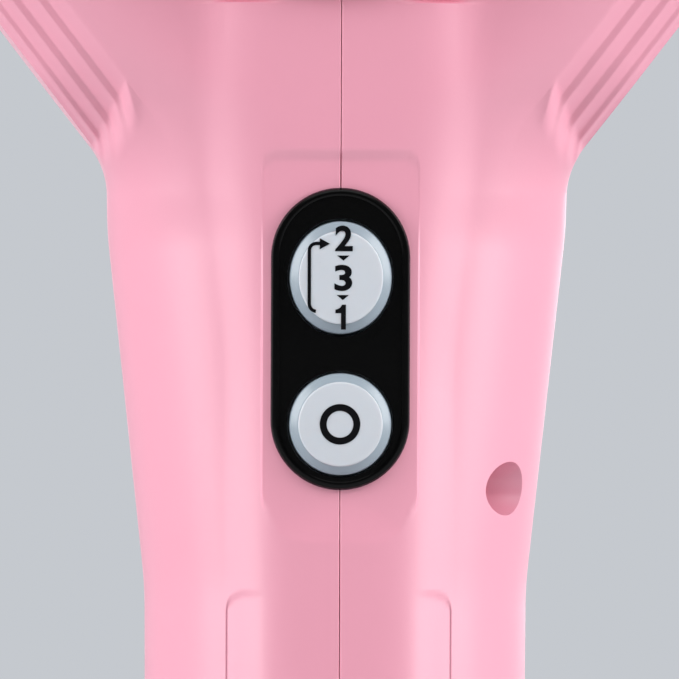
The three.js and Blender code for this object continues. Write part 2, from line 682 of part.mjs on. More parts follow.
/** The finned plate that cools the triac. */
function heatSink(low, back) {
  const high = low + 18;
  const base = solid(block([-8, back, low], [8, back + 1.6, high]));
  const fins = [-7.5, -3.75, 0, 3.75, 7.5].map((x) =>
    solid(block([x - 0.5, back + 1, low], [x + 0.5, back + 6, high])));
  return join(base, ...fins);
}

/** Panel, buttons, switches and the board they stand on. */
function controls() {
  const group = new THREE.Group();
  const boardLow = OFF_SWITCH_HEIGHT - SWITCH_HALF - 0.1;
  const boardBack = BOARD_Y + BOARD_THICK;
  const board = block([-8.5, BOARD_Y, boardLow], [8.5, boardBack, boardLow + 34]);
  const triacLow = boardLow + 14;
  const triac = block([-5, boardBack + FIT, triacLow], [5, boardBack + 4.6, triacLow + 14]);
  group.add(piece("control_bezel", controlBezel(), BLACK, 0.35));
  group.add(piece("speed_button", pushButton(SPEED_STRETCH, SPEED_HEIGHT), MILK, 0.3));
  group.add(piece("off_button", pushButton(1, OFF_HEIGHT), MILK, 0.3));
  group.add(piece("speed_switch", switchBody(SPEED_HEIGHT), 0x303236, 0.5));
  group.add(piece("off_switch", switchBody(OFF_SWITCH_HEIGHT), 0x303236, 0.5));
  group.add(piece("speed_plunger", plunger(SPEED_HEIGHT), 0xd8d2c0, 0.5));
  group.add(piece("off_plunger", plunger(OFF_SWITCH_HEIGHT), 0xd8d2c0, 0.5));
  group.add(piece("control_board", board, BOARD_GREEN, 0.5));
  group.add(piece("triac", triac, 0x1b1b1d, 0.5));
  group.add(piece("heat_sink", heatSink(triacLow - 2, boardBack + 4.9), STEEL, 0.4, 1));
  return group;
}

// ---- fan and motor -------------------------------------------------------------------------------------

const FAN_BACK = -12;
const HUB_LENGTH = 12;
const BLADE_PITCH = Math.PI / 4;
const VANE_PITCH = -0.25;
const HOUSING_INNER = FAN_RADIUS + FAN_CLEARANCE;
const HOUSING_OUTER = HOUSING_INNER + 1.8;
const CUP_INNER = MOTOR_RADIUS + FIT;
const CUP_OUTER = CUP_INNER + 1.5;
const BEARING_BORE = SHAFT_RADIUS + 0.1;
const ROTOR_BORE = SHAFT_RADIUS + FIT;

/** A flat blade standing out from the barrel axis, pitched about its own length. */
function blade(fromRadius, toRadius, chord, thickness, pitch, y, turn) {
  const made = new THREE.BoxGeometry(thickness, chord, toRadius - fromRadius);
  made.rotateZ(pitch);
  made.translate(0, y, (fromRadius + toRadius) / 2);
  made.rotateY(turn);
  return solid(made.translate(0, 0, HEAD_HEIGHT));
}

/** The hub with its ring of pitched blades. */
function fanImpeller() {
  const nose = 2.5;
  const hub = turned([
    [ROTOR_BORE, FAN_BACK], [8, FAN_BACK], [MOTOR_RADIUS, FAN_BACK + nose],
    [MOTOR_RADIUS, FAN_BACK + HUB_LENGTH], [ROTOR_BORE, FAN_BACK + HUB_LENGTH],
  ], 36);
  const middle = FAN_BACK + HUB_LENGTH / 2;
  const blades = Array.from({ length: FAN_BLADES }, (_, k) => {
    const turn = (2 * Math.PI * k) / FAN_BLADES;
    return blade(MOTOR_RADIUS - 0.6, FAN_RADIUS, HUB_LENGTH, 1.2, BLADE_PITCH, middle, turn);
  });
  return join(solid(hub), ...blades);
}

/** The tube round the fan, the cup that holds the motor, and the vanes between them. */
function fanHousing() {
  const back = FAN_BACK - 2;
  const front = MOTOR_BACK + MOTOR_LENGTH + 1;
  const tube = solid(ring(HOUSING_OUTER, HOUSING_INNER, back, front, 48));
  const cup = solid(ring(CUP_OUTER, CUP_INNER, MOTOR_BACK - 1, front - 2, 36));
  const vanes = Array.from({ length: VANES }, (_, k) => {
    const turn = (2 * Math.PI * (k + 0.5)) / VANES;
    return blade(CUP_OUTER - 0.4, HOUSING_INNER + 0.4, 16, 1.4, VANE_PITCH, front - 13, turn);
  });
  return join(tube, cup, ...vanes);
}

/** Fan housing, motor, and what turns with its shaft. */
function drive() {
  const group = new THREE.Group();
  const front = MOTOR_BACK + MOTOR_LENGTH;
  const canInner = MOTOR_RADIUS - 1;
  const can = turned([
    [BEARING_BORE, MOTOR_BACK], [MOTOR_RADIUS, MOTOR_BACK], [MOTOR_RADIUS, front],
    [canInner, front], [canInner, MOTOR_BACK + 1], [BEARING_BORE, MOTOR_BACK + 1],
  ], 32);
  const bell = turned([
    [BEARING_BORE, front + FIT], [MOTOR_RADIUS, front + FIT], [MOTOR_RADIUS, front + 2],
    [3.6, front + 2], [3.6, front + 3.5], [BEARING_BORE, front + 3.5],
  ], 32);
  const boardY = front + 5;
  const diodes = [[-5, -5], [1.5, -5], [-5, 1.5], [1.5, 1.5]].map(([x, z]) =>
    solid(block([x, boardY + 1, HEAD_HEIGHT + z], [x + 3.5, boardY + 3, HEAD_HEIGHT + z + 3.5])));
  const rectifier = join(solid(rod("y", 10, boardY, boardY + 1.2, [0, HEAD_HEIGHT], 24)), ...diodes);
  const shaft = rod("y", SHAFT_RADIUS, FAN_BACK + 0.5, front + 3, [0, HEAD_HEIGHT], 16);
  group.add(piece("fan_housing", fanHousing(), 0x2a2b2e, 0.5));
  group.add(piece("fan_impeller", fanImpeller(), 0x3a3c40, 0.45));
  group.add(piece("motor_can", can, STEEL, 0.35, 1));
  const magnets = ring(canInner - FIT, canInner - 1.6, MOTOR_BACK + 3, front - 3, 32);
  const armature = ring(canInner - 2.2, ROTOR_BORE, MOTOR_BACK + 4, front - 4, 24);
  group.add(piece("motor_magnets", magnets, 0x3b3b3d, 0.7));
  group.add(piece("armature", armature, 0x8c6a4a, 0.5, 0.6));
  group.add(piece("motor_shaft", shaft, STEEL, 0.2, 1));
  group.add(piece("motor_end_bell", bell, 0xe4e2da, 0.5));
  group.add(piece("rectifier_board", rectifier, BOARD_GREEN, 0.5));
  return group;
}

// ---- heater ------------------------------------------------------------------------------------------

/** One resistance coil wound round the edges of the boards. */
function heaterCoil(from, length) {
  const wire = new THREE.Shape();
  wire.absarc(0, 0, COIL_WIRE, 0, 2 * Math.PI);
  const steps = COIL_TURNS * COIL_STEPS;
  const points = Array.from({ length: steps + 1 }, (_, k) => {
    const angle = (2 * Math.PI * k) / COIL_STEPS;
    const y = from + (length * k) / steps;
    return new THREE.Vector3(COIL_RADIUS * Math.cos(angle), y, HEAD_HEIGHT + COIL_RADIUS * Math.sin(angle));
  });
  const options = { steps, extrudePath: new THREE.CatmullRomCurve3(points), curveSegments: 3 };
  return new THREE.ExtrudeGeometry(wire, options);
}

/** The two crossing mica boards, each slotted for the other. */
function micaBoards() {
  const back = HEATER_BACK - 1.5;
  const front = HEATER_BACK + HEATER_LENGTH + 1.5;
  const middle = (back + front) / 2;
  const half = MICA_HALF;
  const slot = half + FIT;
  const upright = block([-half, back, HEAD_HEIGHT - BOARD_REACH], [half, front, HEAD_HEIGHT + BOARD_REACH]);
  const cross = block([-BOARD_REACH, back, HEAD_HEIGHT - half], [BOARD_REACH, front, HEAD_HEIGHT + half]);
  const frontSlot = block([-2, middle - FIT, HEAD_HEIGHT - slot], [2, front + 1, HEAD_HEIGHT + slot]);
  const backSlot = block([-slot, back - 1, HEAD_HEIGHT - 2], [slot, middle + FIT, HEAD_HEIGHT + 2]);
  return [solid(upright).subtract(solid(frontSlot)), solid(cross).subtract(solid(backSlot))];
}

/** Boards, coils, sleeve and the two thermal cut-outs. */
function heater() {
  const group = new THREE.Group();
  const [upright, cross] = micaBoards();
  const coilLength = HEATER_LENGTH / 2 - 4;
  const above = HEAD_HEIGHT + MICA_HALF + FIT;
  const front = HEATER_BACK + HEATER_LENGTH;
  const thermostat = block([9, front - 14, above], [19, front - 6, above + 3]);
  const fuse = rod("y", 1.5, front - 18, front - 6, [-12, above + 1.5], 12);
  group.add(piece("mica_board_upright", upright, MICA, 0.6));
  group.add(piece("mica_board_cross", cross, MICA, 0.6));
  group.add(piece("heater_coil_back", heaterCoil(HEATER_BACK + 2, coilLength), BRASS, 0.4, 0.9));
  group.add(piece("heater_coil_front", heaterCoil(front - 2 - coilLength, coilLength), BRASS, 0.4, 0.9));
  group.add(piece("mica_sleeve", ring(29.4, 28.8, HEATER_BACK - 3, front + 3, 40), MICA, 0.6));
  group.add(piece("thermostat", thermostat, 0xe9e6da, 0.5));
  group.add(piece("thermal_fuse", fuse, BRASS, 0.3, 1));
  return group;
}

// ---- barrel, intake and nozzle -----------------------------------------------------------------------

const RING_BACK = BARREL_END + FIT;
const RING_LENGTH = 6;
const SPIGOT_BACK = RING_BACK + RING_LENGTH;
const SPIGOT_END = SPIGOT_BACK + SPIGOT_LENGTH;
const OUTLET_RADIUS = 29.5;
const BARREL_SHOULDER_Y = 45; // where the barrel starts to taper
const BARREL_PLUG = 7;
const COVER_SLOTS = 14;
const SLOT_START = 9;
const SLOT_HALF_WIDTH = 1.2;
const SKIRT_WALL = 1.3;
const GUARD_BARS = [-18, -9, 0, 9, 18];
const GUARD_BAR_HALF = 0.6;
const GUARD_DEPTH = 2;
const SPOUT_THROAT = OUTLET_RADIUS + 0.1;
const LIP_BACK = SPIGOT_END + 2.6;
const LIP_FRONT = LIP_BACK + 1.8;
const MOUTH_Y = SPIGOT_END + NOZZLE_LENGTH;

/** The barrel: a tapered tube with a plug that fits the casing's front opening. */
function barrel() {
  const seat = FRONT_Y + FIT;
  const plugEnd = FRONT_Y - BARREL_PLUG;
  const plug = BARREL_OPENING - FIT - 0.2;
  const shoulder = BARREL_BACK_RADIUS - 0.6;
  return turned([
    [plug, plugEnd], [plug, seat], [BARREL_BACK_RADIUS - 0.8, seat], [BARREL_BACK_RADIUS, seat + 0.8],
    [shoulder, BARREL_SHOULDER_Y], [BARREL_FRONT_RADIUS, BARREL_END], [BARREL_FRONT_RADIUS - 2, BARREL_END],
    [shoulder - WALL, BARREL_SHOULDER_Y], [plug - 1.8, plugEnd],
  ], 40);
}

/** The heat-resistant ring that closes the barrel and carries the nozzle. */
function frontRing() {
  const plug = BARREL_FRONT_RADIUS - 2 - FIT;
  return turned([
    [OUTLET_RADIUS, RING_BACK - 4], [plug, RING_BACK - 4], [plug, RING_BACK],
    [BARREL_FRONT_RADIUS + 0.2, RING_BACK], [BARREL_FRONT_RADIUS + 0.2, SPIGOT_BACK - 0.5],
    [BARREL_FRONT_RADIUS - 0.3, SPIGOT_BACK], [SPIGOT_RADIUS, SPIGOT_BACK],
    [SPIGOT_RADIUS, SPIGOT_END], [OUTLET_RADIUS, SPIGOT_END],
  ], 36);
}

/** The guard across the air outlet: a ring, an upright and level bars. */
function outletGrille() {
  const outer = OUTLET_RADIUS - FIT;
  const from = RING_BACK - 2.5;
  const reach = outer - 0.8;
  const to = from + GUARD_DEPTH;
  const bars = GUARD_BARS.map((z) => {
    const half = Math.sqrt(reach ** 2 - z ** 2);
    const low = HEAD_HEIGHT + z - GUARD_BAR_HALF;
    return solid(block([-half, from, low], [half, to, low + 2 * GUARD_BAR_HALF]));
  });
  const lowEnd = [-GUARD_BAR_HALF, from, HEAD_HEIGHT - reach];
  const upright = solid(block(lowEnd, [GUARD_BAR_HALF, to, HEAD_HEIGHT + reach]));
  return join(solid(ring(outer, outer - 1.6, from, to, 48)), upright, ...bars);
}

/** A closed tube wall through a run of rounded sections about the barrel axis. */
function lofted(sections, sides) {
  const positions = [];
  for (const { y, width, height } of sections) {
    const power = mix(0.5, 1, Math.min(1, height / width));
    for (let k = 0; k < sides; k++) {
      const c = Math.cos((2 * Math.PI * k) / sides);
      const s = Math.sin((2 * Math.PI * k) / sides);
      const x = width * Math.sign(c) * Math.abs(c) ** power;
      positions.push(x, y, HEAD_HEIGHT + height * Math.sign(s) * Math.abs(s) ** power);
    }
  }
  const index = [];
  const at = (i, k) => (i % sections.length) * sides + (k % sides);
  for (let i = 0; i < sections.length; i++) {
    for (let k = 0; k < sides; k++) {
      index.push(at(i, k), at(i + 1, k), at(i, k + 1), at(i, k + 1), at(i + 1, k), at(i + 1, k + 1));
    }
  }
  const geometry = new THREE.BufferGeometry();
  geometry.setAttribute("position", new THREE.Float32BufferAttribute(positions, 3));
  geometry.setIndex(index);
  return geometry;
}

/** The turning spout: a flange held behind the ring's lip, a round throat and a flat mouth. */
function nozzleSpout() {
  const round = (y, radius) => ({ y, width: radius, height: radius });
  const throat = SPOUT_THROAT;
  const bore = throat - NOZZLE_WALL;
  const start = SPIGOT_END + FIT;
  const back = LIP_FRONT + FIT;
  const wide = BARREL_FRONT_RADIUS - 0.6;
  const steps = [0.35, 0.7];
  const outer = steps.map((t) => ({
    y: mix(back, MOUTH_Y, t),
    width: mix(wide, MOUTH_HALF_WIDTH, t),
    height: mix(wide, MOUTH_HALF_HEIGHT, smooth(0, 1.05, t)),
  }));
  const inner = outer.map(({ y, width, height }) => ({
    y, width: width - NOZZLE_WALL, height: height - NOZZLE_WALL }));
  return lofted([
    round(start, SPIGOT_RADIUS - 0.2), round(LIP_BACK - FIT, SPIGOT_RADIUS - 0.2),
    round(LIP_BACK - FIT, throat), round(back, throat), round(back, wide), ...outer,
    { y: MOUTH_Y, width: MOUTH_HALF_WIDTH, height: MOUTH_HALF_HEIGHT },
    { y: MOUTH_Y, width: MOUTH_HALF_WIDTH - NOZZLE_WALL, height: MOUTH_HALF_HEIGHT - 1.2 },
    ...inner.reverse(), round(back, bore), round(start, bore),
  ], 32);
}

/** The ring that snaps over the spigot and holds the spout. */
function nozzleRing() {
  const outer = BARREL_FRONT_RADIUS;
  const lip = SPOUT_THROAT + FIT;
  return turned([
    [SPIGOT_RADIUS + FIT, SPIGOT_BACK + FIT], [outer, SPIGOT_BACK + FIT], [outer, LIP_FRONT],
    [lip, LIP_FRONT], [lip, LIP_BACK], [SPIGOT_RADIUS + FIT, LIP_BACK],
  ], 36);
}

/** The pull-off cover over the air intake: a slotted disc with a skirt that plugs the opening. */
function intakeCover() {
  const seat = BACK_Y - SPINE_RISE - FIT;
  const outline = new THREE.Shape();
  outline.absarc(0, 0, COVER_RADIUS, 0, 2 * Math.PI);
  const far = COVER_SKIRT_RADIUS - 2.5;
  for (let k = 0; k < COVER_SLOTS; k++) {
    const angle = (2 * Math.PI * k) / COVER_SLOTS;
    const along = new THREE.Vector2(Math.cos(angle), Math.sin(angle));
    const across = new THREE.Vector2(-along.y, along.x).multiplyScalar(SLOT_HALF_WIDTH);
    const corner = (r, side) => along.clone().multiplyScalar(r).addScaledVector(across, side);
    const ends = [corner(SLOT_START, -1), corner(far, -1), corner(far, 1), corner(SLOT_START, 1)];
    outline.holes.push(new THREE.Path(ends));
  }
  const disc = solid(plate(outline, COVER_FACE_Y, seat, 24).translate(0, 0, HEAD_HEIGHT));
  const inner = COVER_SKIRT_RADIUS - SKIRT_WALL;
  const skirt = ring(COVER_SKIRT_RADIUS, inner, seat - 0.5, BACK_Y + 3.5, 48);
  return join(disc, solid(skirt));
}

/** Everything along the barrel axis outside the casing halves. */
function airPath() {
  const group = new THREE.Group();
  const filterRadius = COVER_SKIRT_RADIUS - SKIRT_WALL - FIT;
  const filter = rod("y", filterRadius, BACK_Y + 2.4, BACK_Y + 3, [0, HEAD_HEIGHT], 40);
  group.add(piece("intake_cover", intakeCover(), PINK_DARK, 0.4));
  group.add(piece("lint_filter", filter, 0x8a8d92, 0.6, 0.4));
  group.add(piece("barrel", barrel(), PINK, 0.35));
  group.add(piece("front_ring", frontRing(), 0xd9d9de, 0.3));
  group.add(piece("outlet_grille", outletGrille(), 0x202124, 0.5));
  group.add(piece("nozzle_ring", nozzleRing(), 0x242528, 0.4));
  group.add(piece("nozzle_spout", nozzleSpout(), 0x242528, 0.4));
  return group;
}

// ---- the whole dryer -----------------------------------------------------------------------------------

const dryer = new THREE.Group();
dryer.add(casing(), handleEnd(), controls(), drive(), heater(), airPath());
dryer.position.y = -(COVER_FACE_Y + MOUTH_Y) / 2;

export default dryer;
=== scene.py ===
"""A small travel hair dryer, dressed for a close view of its control panel and neck.

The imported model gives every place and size: the handle's axis, the panel's height and the barrel axis
are read from its nodes. Shapes are drafted in millimetres about the handle's own axis, with +Z up the
handle, +Y the way the air is blown and +X the right half seen from the thumb side. They are turned
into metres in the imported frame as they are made. Fine pieces replace the plain visible nodes; the inner
nodes keep their shape and get their own materials.
"""

import json
import logging
import math
from dataclasses import dataclass, field
from enum import Enum
from typing import Iterable, Sequence

import bpy
import numpy as np
from mathutils import Matrix, Vector


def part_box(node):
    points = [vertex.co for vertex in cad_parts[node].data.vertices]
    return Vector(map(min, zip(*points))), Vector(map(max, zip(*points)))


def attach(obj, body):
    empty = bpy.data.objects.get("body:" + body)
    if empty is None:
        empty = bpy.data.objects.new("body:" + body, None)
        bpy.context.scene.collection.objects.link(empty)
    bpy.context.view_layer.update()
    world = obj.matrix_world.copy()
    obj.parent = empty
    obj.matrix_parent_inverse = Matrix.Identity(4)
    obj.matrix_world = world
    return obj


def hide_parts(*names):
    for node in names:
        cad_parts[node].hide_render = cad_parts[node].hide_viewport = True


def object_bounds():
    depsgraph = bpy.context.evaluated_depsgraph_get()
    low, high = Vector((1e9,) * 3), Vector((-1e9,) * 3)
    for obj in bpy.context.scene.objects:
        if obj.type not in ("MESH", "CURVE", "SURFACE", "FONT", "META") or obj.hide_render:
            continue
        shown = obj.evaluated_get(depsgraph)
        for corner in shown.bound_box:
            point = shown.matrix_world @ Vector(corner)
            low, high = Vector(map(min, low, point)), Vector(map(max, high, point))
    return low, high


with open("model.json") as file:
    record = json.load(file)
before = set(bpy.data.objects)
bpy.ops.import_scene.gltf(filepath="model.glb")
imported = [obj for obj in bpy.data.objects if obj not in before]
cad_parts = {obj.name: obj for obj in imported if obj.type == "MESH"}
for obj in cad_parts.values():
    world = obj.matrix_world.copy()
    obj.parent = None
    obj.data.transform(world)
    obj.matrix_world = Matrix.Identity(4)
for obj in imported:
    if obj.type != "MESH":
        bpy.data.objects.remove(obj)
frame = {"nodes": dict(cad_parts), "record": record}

CAD_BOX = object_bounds()
MM = 0.001
log = logging.getLogger("dryer")

Point2 = tuple[float, float]
Place = tuple[float, float, float]
Rgb = tuple[float, float, float]


# ---- places ------------------------------------------------------------------------------------------


@dataclass(frozen=True)
class Datum:
    """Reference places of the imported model.

    Args:
        axis_y: y of the handle's own axis, in metres.
        panel: height of the control panel's middle, in millimetres.
        head: height of the barrel axis, in millimetres.
    """

    axis_y: float
    panel: float
    head: float

    @classmethod
    def from_frame(cls) -> "Datum":
        """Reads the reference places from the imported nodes.

        Returns:
            The datum that every sub-assembly is placed by.
        """
        gland_low, gland_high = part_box("cord_gland")
        panel_low, panel_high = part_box("control_bezel")
        cover_low, cover_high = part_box("intake_cover")
        return cls(
            axis_y=(gland_low.y + gland_high.y) / 2,
            panel=(panel_low.z + panel_high.z) / 2 / MM,
            head=(cover_low.z + cover_high.z) / 2 / MM,
        )

    def place(self, points: np.ndarray) -> np.ndarray:
        """Turns millimetres about the handle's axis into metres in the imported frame.

        Args:
            points: rows of x, y, z in millimetres.

        Returns:
            Rows of x, y, z in metres.
        """
        return points * MM + np.array([0.0, self.axis_y, 0.0])


DATUM = Datum.from_frame()


# ---- finishes ----------------------------------------------------------------------------------------


class Grain(Enum):
    """Surface textures of the dryer's finishes."""

    SATIN = "satin"
    MATT = "matt"
    BRUSHED = "brushed"
    LAYERED = "layered"
    WOVEN = "woven"


@dataclass(frozen=True)
class Finish:
    """One finish, as a maker would specify it.

    Args:
        name: plain name of the finish, which is also its material slot unless one is given.
        color: linear base colour.
        roughness: mean roughness.
        grain: which texture it has.
        grain_mm: size of the texture.
        relief_mm: height of the texture.
        metallic: 1 for bare metal.
        specular: strength of its reflections, 0.5 for common plastics.
        coat: weight of a clear gloss skin.
        coat_rough: roughness of that skin.
        variation: how far the colour drifts, as a share.
        subsurface: weight of light carried under the skin.
        own_slot: the record's material slot, where it differs from the name.
    """

    name: str
    color: Rgb
    roughness: float = 0.4
    grain: Grain = Grain.SATIN
    grain_mm: float = 0.35
    relief_mm: float = 0.004
    metallic: float = 0.0
    specular: float = 0.5
    coat: float = 0.0
    coat_rough: float = 0.3
    variation: float = 0.04
    subsurface: float = 0.0
    own_slot: str = ""

    @property
    def slot(self) -> str:
        """The record's material slot that the finish belongs to."""
        return self.own_slot or self.name

    def texture(self, tree: bpy.types.NodeTree, coords: bpy.types.NodeSocket) -> bpy.types.NodeSocket:
        """Builds the height pattern of the grain.

        Args:
            tree: the material's node tree.
            coords: object coordinates in metres.

        Returns:
            The socket that carries the pattern, from 0 to 1.
        """
        scale = 1 / (self.grain_mm * MM)
        if self.grain is Grain.WOVEN:
            wave = tree.nodes.new("ShaderNodeTexVoronoi")
            wave.inputs["Scale"].default_value = scale
            tree.links.new(coords, wave.inputs["Vector"])
            return wave.outputs["Distance"]
        mapping = tree.nodes.new("ShaderNodeMapping")
        stretch = {Grain.BRUSHED: (1.0, 0.06, 1.0), Grain.LAYERED: (0.15, 1.0, 0.15)}
        mapping.inputs["Scale"].default_value = stretch.get(self.grain, (1.0, 1.0, 1.0))
        tree.links.new(coords, mapping.inputs["Vector"])
        noise = tree.nodes.new("ShaderNodeTexNoise")
        noise.inputs["Scale"].default_value = scale
        noise.inputs["Detail"].default_value = 3.0 if self.grain is Grain.MATT else 1.5
        tree.links.new(mapping.outputs["Vector"], noise.inputs["Vector"])
        return noise.outputs["Fac"]

    def material(self) -> bpy.types.Material:
        """Makes the finish's material, or returns it if it is already made.

        Returns:
            A node material on object coordinates.
        """
        title = f"{self.name}_finish"
        known = bpy.data.materials.get(title)
        if known:
            return known
        made = bpy.data.materials.new(title)
        made.use_nodes = True
        tree = made.node_tree
        shader = tree.nodes["Principled BSDF"]
        coords = tree.nodes.new("ShaderNodeTexCoord").outputs["Object"]
        pattern = self.texture(tree, coords)

        drift = tree.nodes.new("ShaderNodeTexNoise")
        drift.inputs["Scale"].default_value = 1 / (18 * MM)
        drift.inputs["Detail"].default_value = 2.0
        tree.links.new(coords, drift.inputs["Vector"])
        tint = tree.nodes.new("ShaderNodeMix")
        tint.data_type = "RGBA"
        darker = [c * (1 - self.variation) for c in self.color]
        lighter = [min(1.0, c * (1 + self.variation)) for c in self.color]
        tint.inputs["A"].default_value = (*darker, 1.0)
        tint.inputs["B"].default_value = (*lighter, 1.0)
        tree.links.new(drift.outputs["Fac"], tint.inputs["Factor"])
        tree.links.new(tint.outputs["Result"], shader.inputs["Base Color"])

        gloss = tree.nodes.new("ShaderNodeMapRange")
        gloss.inputs["To Min"].default_value = max(0.02, self.roughness - 0.05)
        gloss.inputs["To Max"].default_value = min(1.0, self.roughness + 0.05)
        tree.links.new(pattern, gloss.inputs["Value"])
        tree.links.new(gloss.outputs["Result"], shader.inputs["Roughness"])

        bump = tree.nodes.new("ShaderNodeBump")
        bump.inputs["Strength"].default_value = 1.0
        bump.inputs["Distance"].default_value = self.relief_mm * MM
        tree.links.new(pattern, bump.inputs["Height"])
        tree.links.new(bump.outputs["Normal"], shader.inputs["Normal"])

        shader.inputs["Metallic"].default_value = self.metallic
        shader.inputs["Specular IOR Level"].default_value = self.specular
        shader.inputs["Coat Weight"].default_value = self.coat
        shader.inputs["Coat Roughness"].default_value = self.coat_rough
        shader.inputs["Coat IOR"].default_value = 1.5
        shader.inputs["Subsurface Weight"].default_value = self.subsurface
        shader.inputs["Subsurface Radius"].default_value = (1.0, 0.7, 0.6)
        shader.inputs["Subsurface Scale"].default_value = 0.6 * MM
        return made


PINK = Finish("casing_pink", (0.85, 0.35, 0.455), 0.37, variation=0.01, specular=0.95)
PINK_TRIM = Finish("trim_pink", (0.84, 0.28, 0.39), 0.45, Grain.MATT, coat=0.3, variation=0.02)
PANEL_BLACK = Finish("panel_black", (0.002, 0.002, 0.002), 0.2, relief_mm=0.001, specular=0.16)
MILK = Finish("button_milk", (0.63, 0.66, 0.70), 0.3, coat=0.2, variation=0.02, subsurface=0.3)
# Darker, bluer copy of the milk finish for the buttons' sloping rims: painted shade for the shade that
# falls on the rim.
MILK_RIM_PAINTED_SHADE = Finish(
    "button_milk_rim_painted_shade", (0.30, 0.36, 0.41), 0.3, coat=0.2, variation=0.03, own_slot="button_milk")
INK = Finish(
    "button_ink", (0.002, 0.002, 0.003), 0.3, Grain.MATT, relief_mm=0.001, specular=0.2,
    own_slot="panel_black")
RING_WHITE = Finish("ring_white", (0.74, 0.73, 0.73), 0.25, coat=0.3, variation=0.01)
NOZZLE_BLACK = Finish("nozzle_black", (0.016, 0.016, 0.018), 0.48, Grain.MATT, 0.5, 0.012)
RUBBER = Finish("bush_rubber", (0.012, 0.012, 0.013), 0.7, Grain.MATT, 0.3, 0.01)
STEEL = Finish("steel", (0.56, 0.57, 0.58), 0.3, Grain.BRUSHED, 0.2, 0.004, metallic=1.0)
ALUMINIUM = Finish("aluminium", (0.74, 0.74, 0.76), 0.38, Grain.BRUSHED, 0.25, 0.004, 1.0)
DARK_RESIN = Finish("inner_plastic_dark", (0.035, 0.037, 0.042), 0.5, Grain.MATT, 0.4, 0.01)
LIGHT_RESIN = Finish("inner_plastic_light", (0.76, 0.74, 0.68), 0.5, Grain.MATT)
EPOXY = Finish("capacitor_yellow", (0.62, 0.38, 0.04), 0.4)
BOARD = Finish("board_green", (0.02, 0.13, 0.05), 0.42, Grain.WOVEN, 0.5, 0.01, coat=0.3)
COPPER = Finish("winding_copper", (0.55, 0.22, 0.09), 0.35, Grain.BRUSHED, 0.3, 0.03, 1.0)
MICA = Finish("mica", (0.55, 0.47, 0.32), 0.55, Grain.LAYERED, 0.8, 0.02, variation=0.12)
HEATER_WIRE = Finish("heater_wire", (0.42, 0.38, 0.35), 0.4, Grain.BRUSHED, 0.1, 0.002, 1.0)
LINT_MESH = Finish("lint_mesh", (0.40, 0.41, 0.43), 0.45, Grain.WOVEN, 0.4, 0.05, 0.8, own_slot="steel")

SLOT_FINISHES = {
    finish.slot: finish
    for finish in (
        PINK, PINK_TRIM, PANEL_BLACK, MILK, RING_WHITE, NOZZLE_BLACK, RUBBER, STEEL, ALUMINIUM,
        DARK_RESIN, LIGHT_RESIN, EPOXY, BOARD, COPPER, MICA, HEATER_WIRE,
    )
}


# ---- drafting ----------------------------------------------------------------------------------------


def mix(a, b, t):
    """Straight blend from a to b by t, on numbers or arrays."""
    return a + (b - a) * t


def smooth(low: float, high: float, value) -> np.ndarray:
    """Smooth step from 0 at low to 1 at high."""
    t = np.clip((np.asarray(value, float) - low) / (high - low), 0.0, 1.0)
    return t * t * (3 - 2 * t)


def signed_area(outline: np.ndarray) -> float:
    """Twice the area of a flat outline, positive where it runs anticlockwise."""
    after = np.roll(outline, -1, axis=0)
    return float(np.sum(outline[:, 0] * after[:, 1] - after[:, 0] * outline[:, 1]))


def unit_circle(steps: int) -> np.ndarray:
    """Points of a circle of radius 1, anticlockwise."""
    turn = np.linspace(0, 2 * math.pi, steps, endpoint=False)
    return np.c_[np.cos(turn), np.sin(turn)]


def at_y(outline: np.ndarray, y: float) -> np.ndarray:
    """Stands an outline of x and z at one y."""
    return np.c_[outline[:, 0], np.full(len(outline), y), outline[:, 1]]


def linked(name: str, data: bpy.types.ID) -> bpy.types.Object:
    """Makes an object of a mesh, curve or light and links it to the scene."""
    made = bpy.data.objects.new(name, data)
    bpy.context.scene.collection.objects.link(made)
    return made


def plain_mesh(piece: bpy.types.Object) -> bpy.types.Mesh:
    """A piece's mesh with its modifiers worked in."""
    graph = bpy.context.evaluated_depsgraph_get()
    return bpy.data.meshes.new_from_object(piece.evaluated_get(graph))


def drafted_mesh(name: str, points: np.ndarray, faces: Sequence[Sequence[int]]) -> bpy.types.Mesh:
    """A mesh of points in millimetres about the handle's axis."""
    mesh = bpy.data.meshes.new(name)
    mesh.from_pydata(DATUM.place(np.asarray(points, float)).tolist(), [], [list(f) for f in faces])
    return mesh


def make_piece(
    name: str,
    points: np.ndarray,
    faces: Sequence[Sequence[int]],
    finish: Finish,
    sharp_deg: float = 35.0,
) -> bpy.types.Object:
    """Makes a piece from drafted points, with its place in its mesh.

    Args:
        name: the piece's name.
        points: rows of x, y, z in millimetres about the handle's axis.
        faces: corner numbers of each face.
        finish: what it is made of.
        sharp_deg: edges sharper than this stay crisp.

    Returns:
        The linked object, at the origin.
    """
    mesh = drafted_mesh(name, points, faces)
    mesh.validate()
    mesh.update()
    return dress(linked(name, mesh), finish, sharp_deg)


def dress(piece: bpy.types.Object, finish: Finish, sharp_deg: float = 35.0) -> bpy.types.Object:
    """Shades a piece smooth between its sharp edges and gives it its finish.

    Args:
        piece: the object to finish.
        finish: what it is made of.
        sharp_deg: edges sharper than this stay crisp.

    Returns:
        The same object.
    """
    piece.data.shade_smooth()
    piece.data.set_sharp_from_angle(angle=math.radians(sharp_deg))
    piece.data.materials.clear()
    piece.data.materials.append(finish.material())
    return piece


def settle(piece: bpy.types.Object, body: str, *nodes: str) -> bpy.types.Object:
    """Hangs a finished piece on its body in place of the nodes it stands for.

    Args:
        piece: the finished piece.
        body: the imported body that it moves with.
        nodes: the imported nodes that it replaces.

    Returns:
        The same object.
    """
    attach(piece, body)
    if nodes:
        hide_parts(*nodes)
    log.info("%s: %d faces on %s", piece.name, len(piece.data.polygons), body)
    return piece


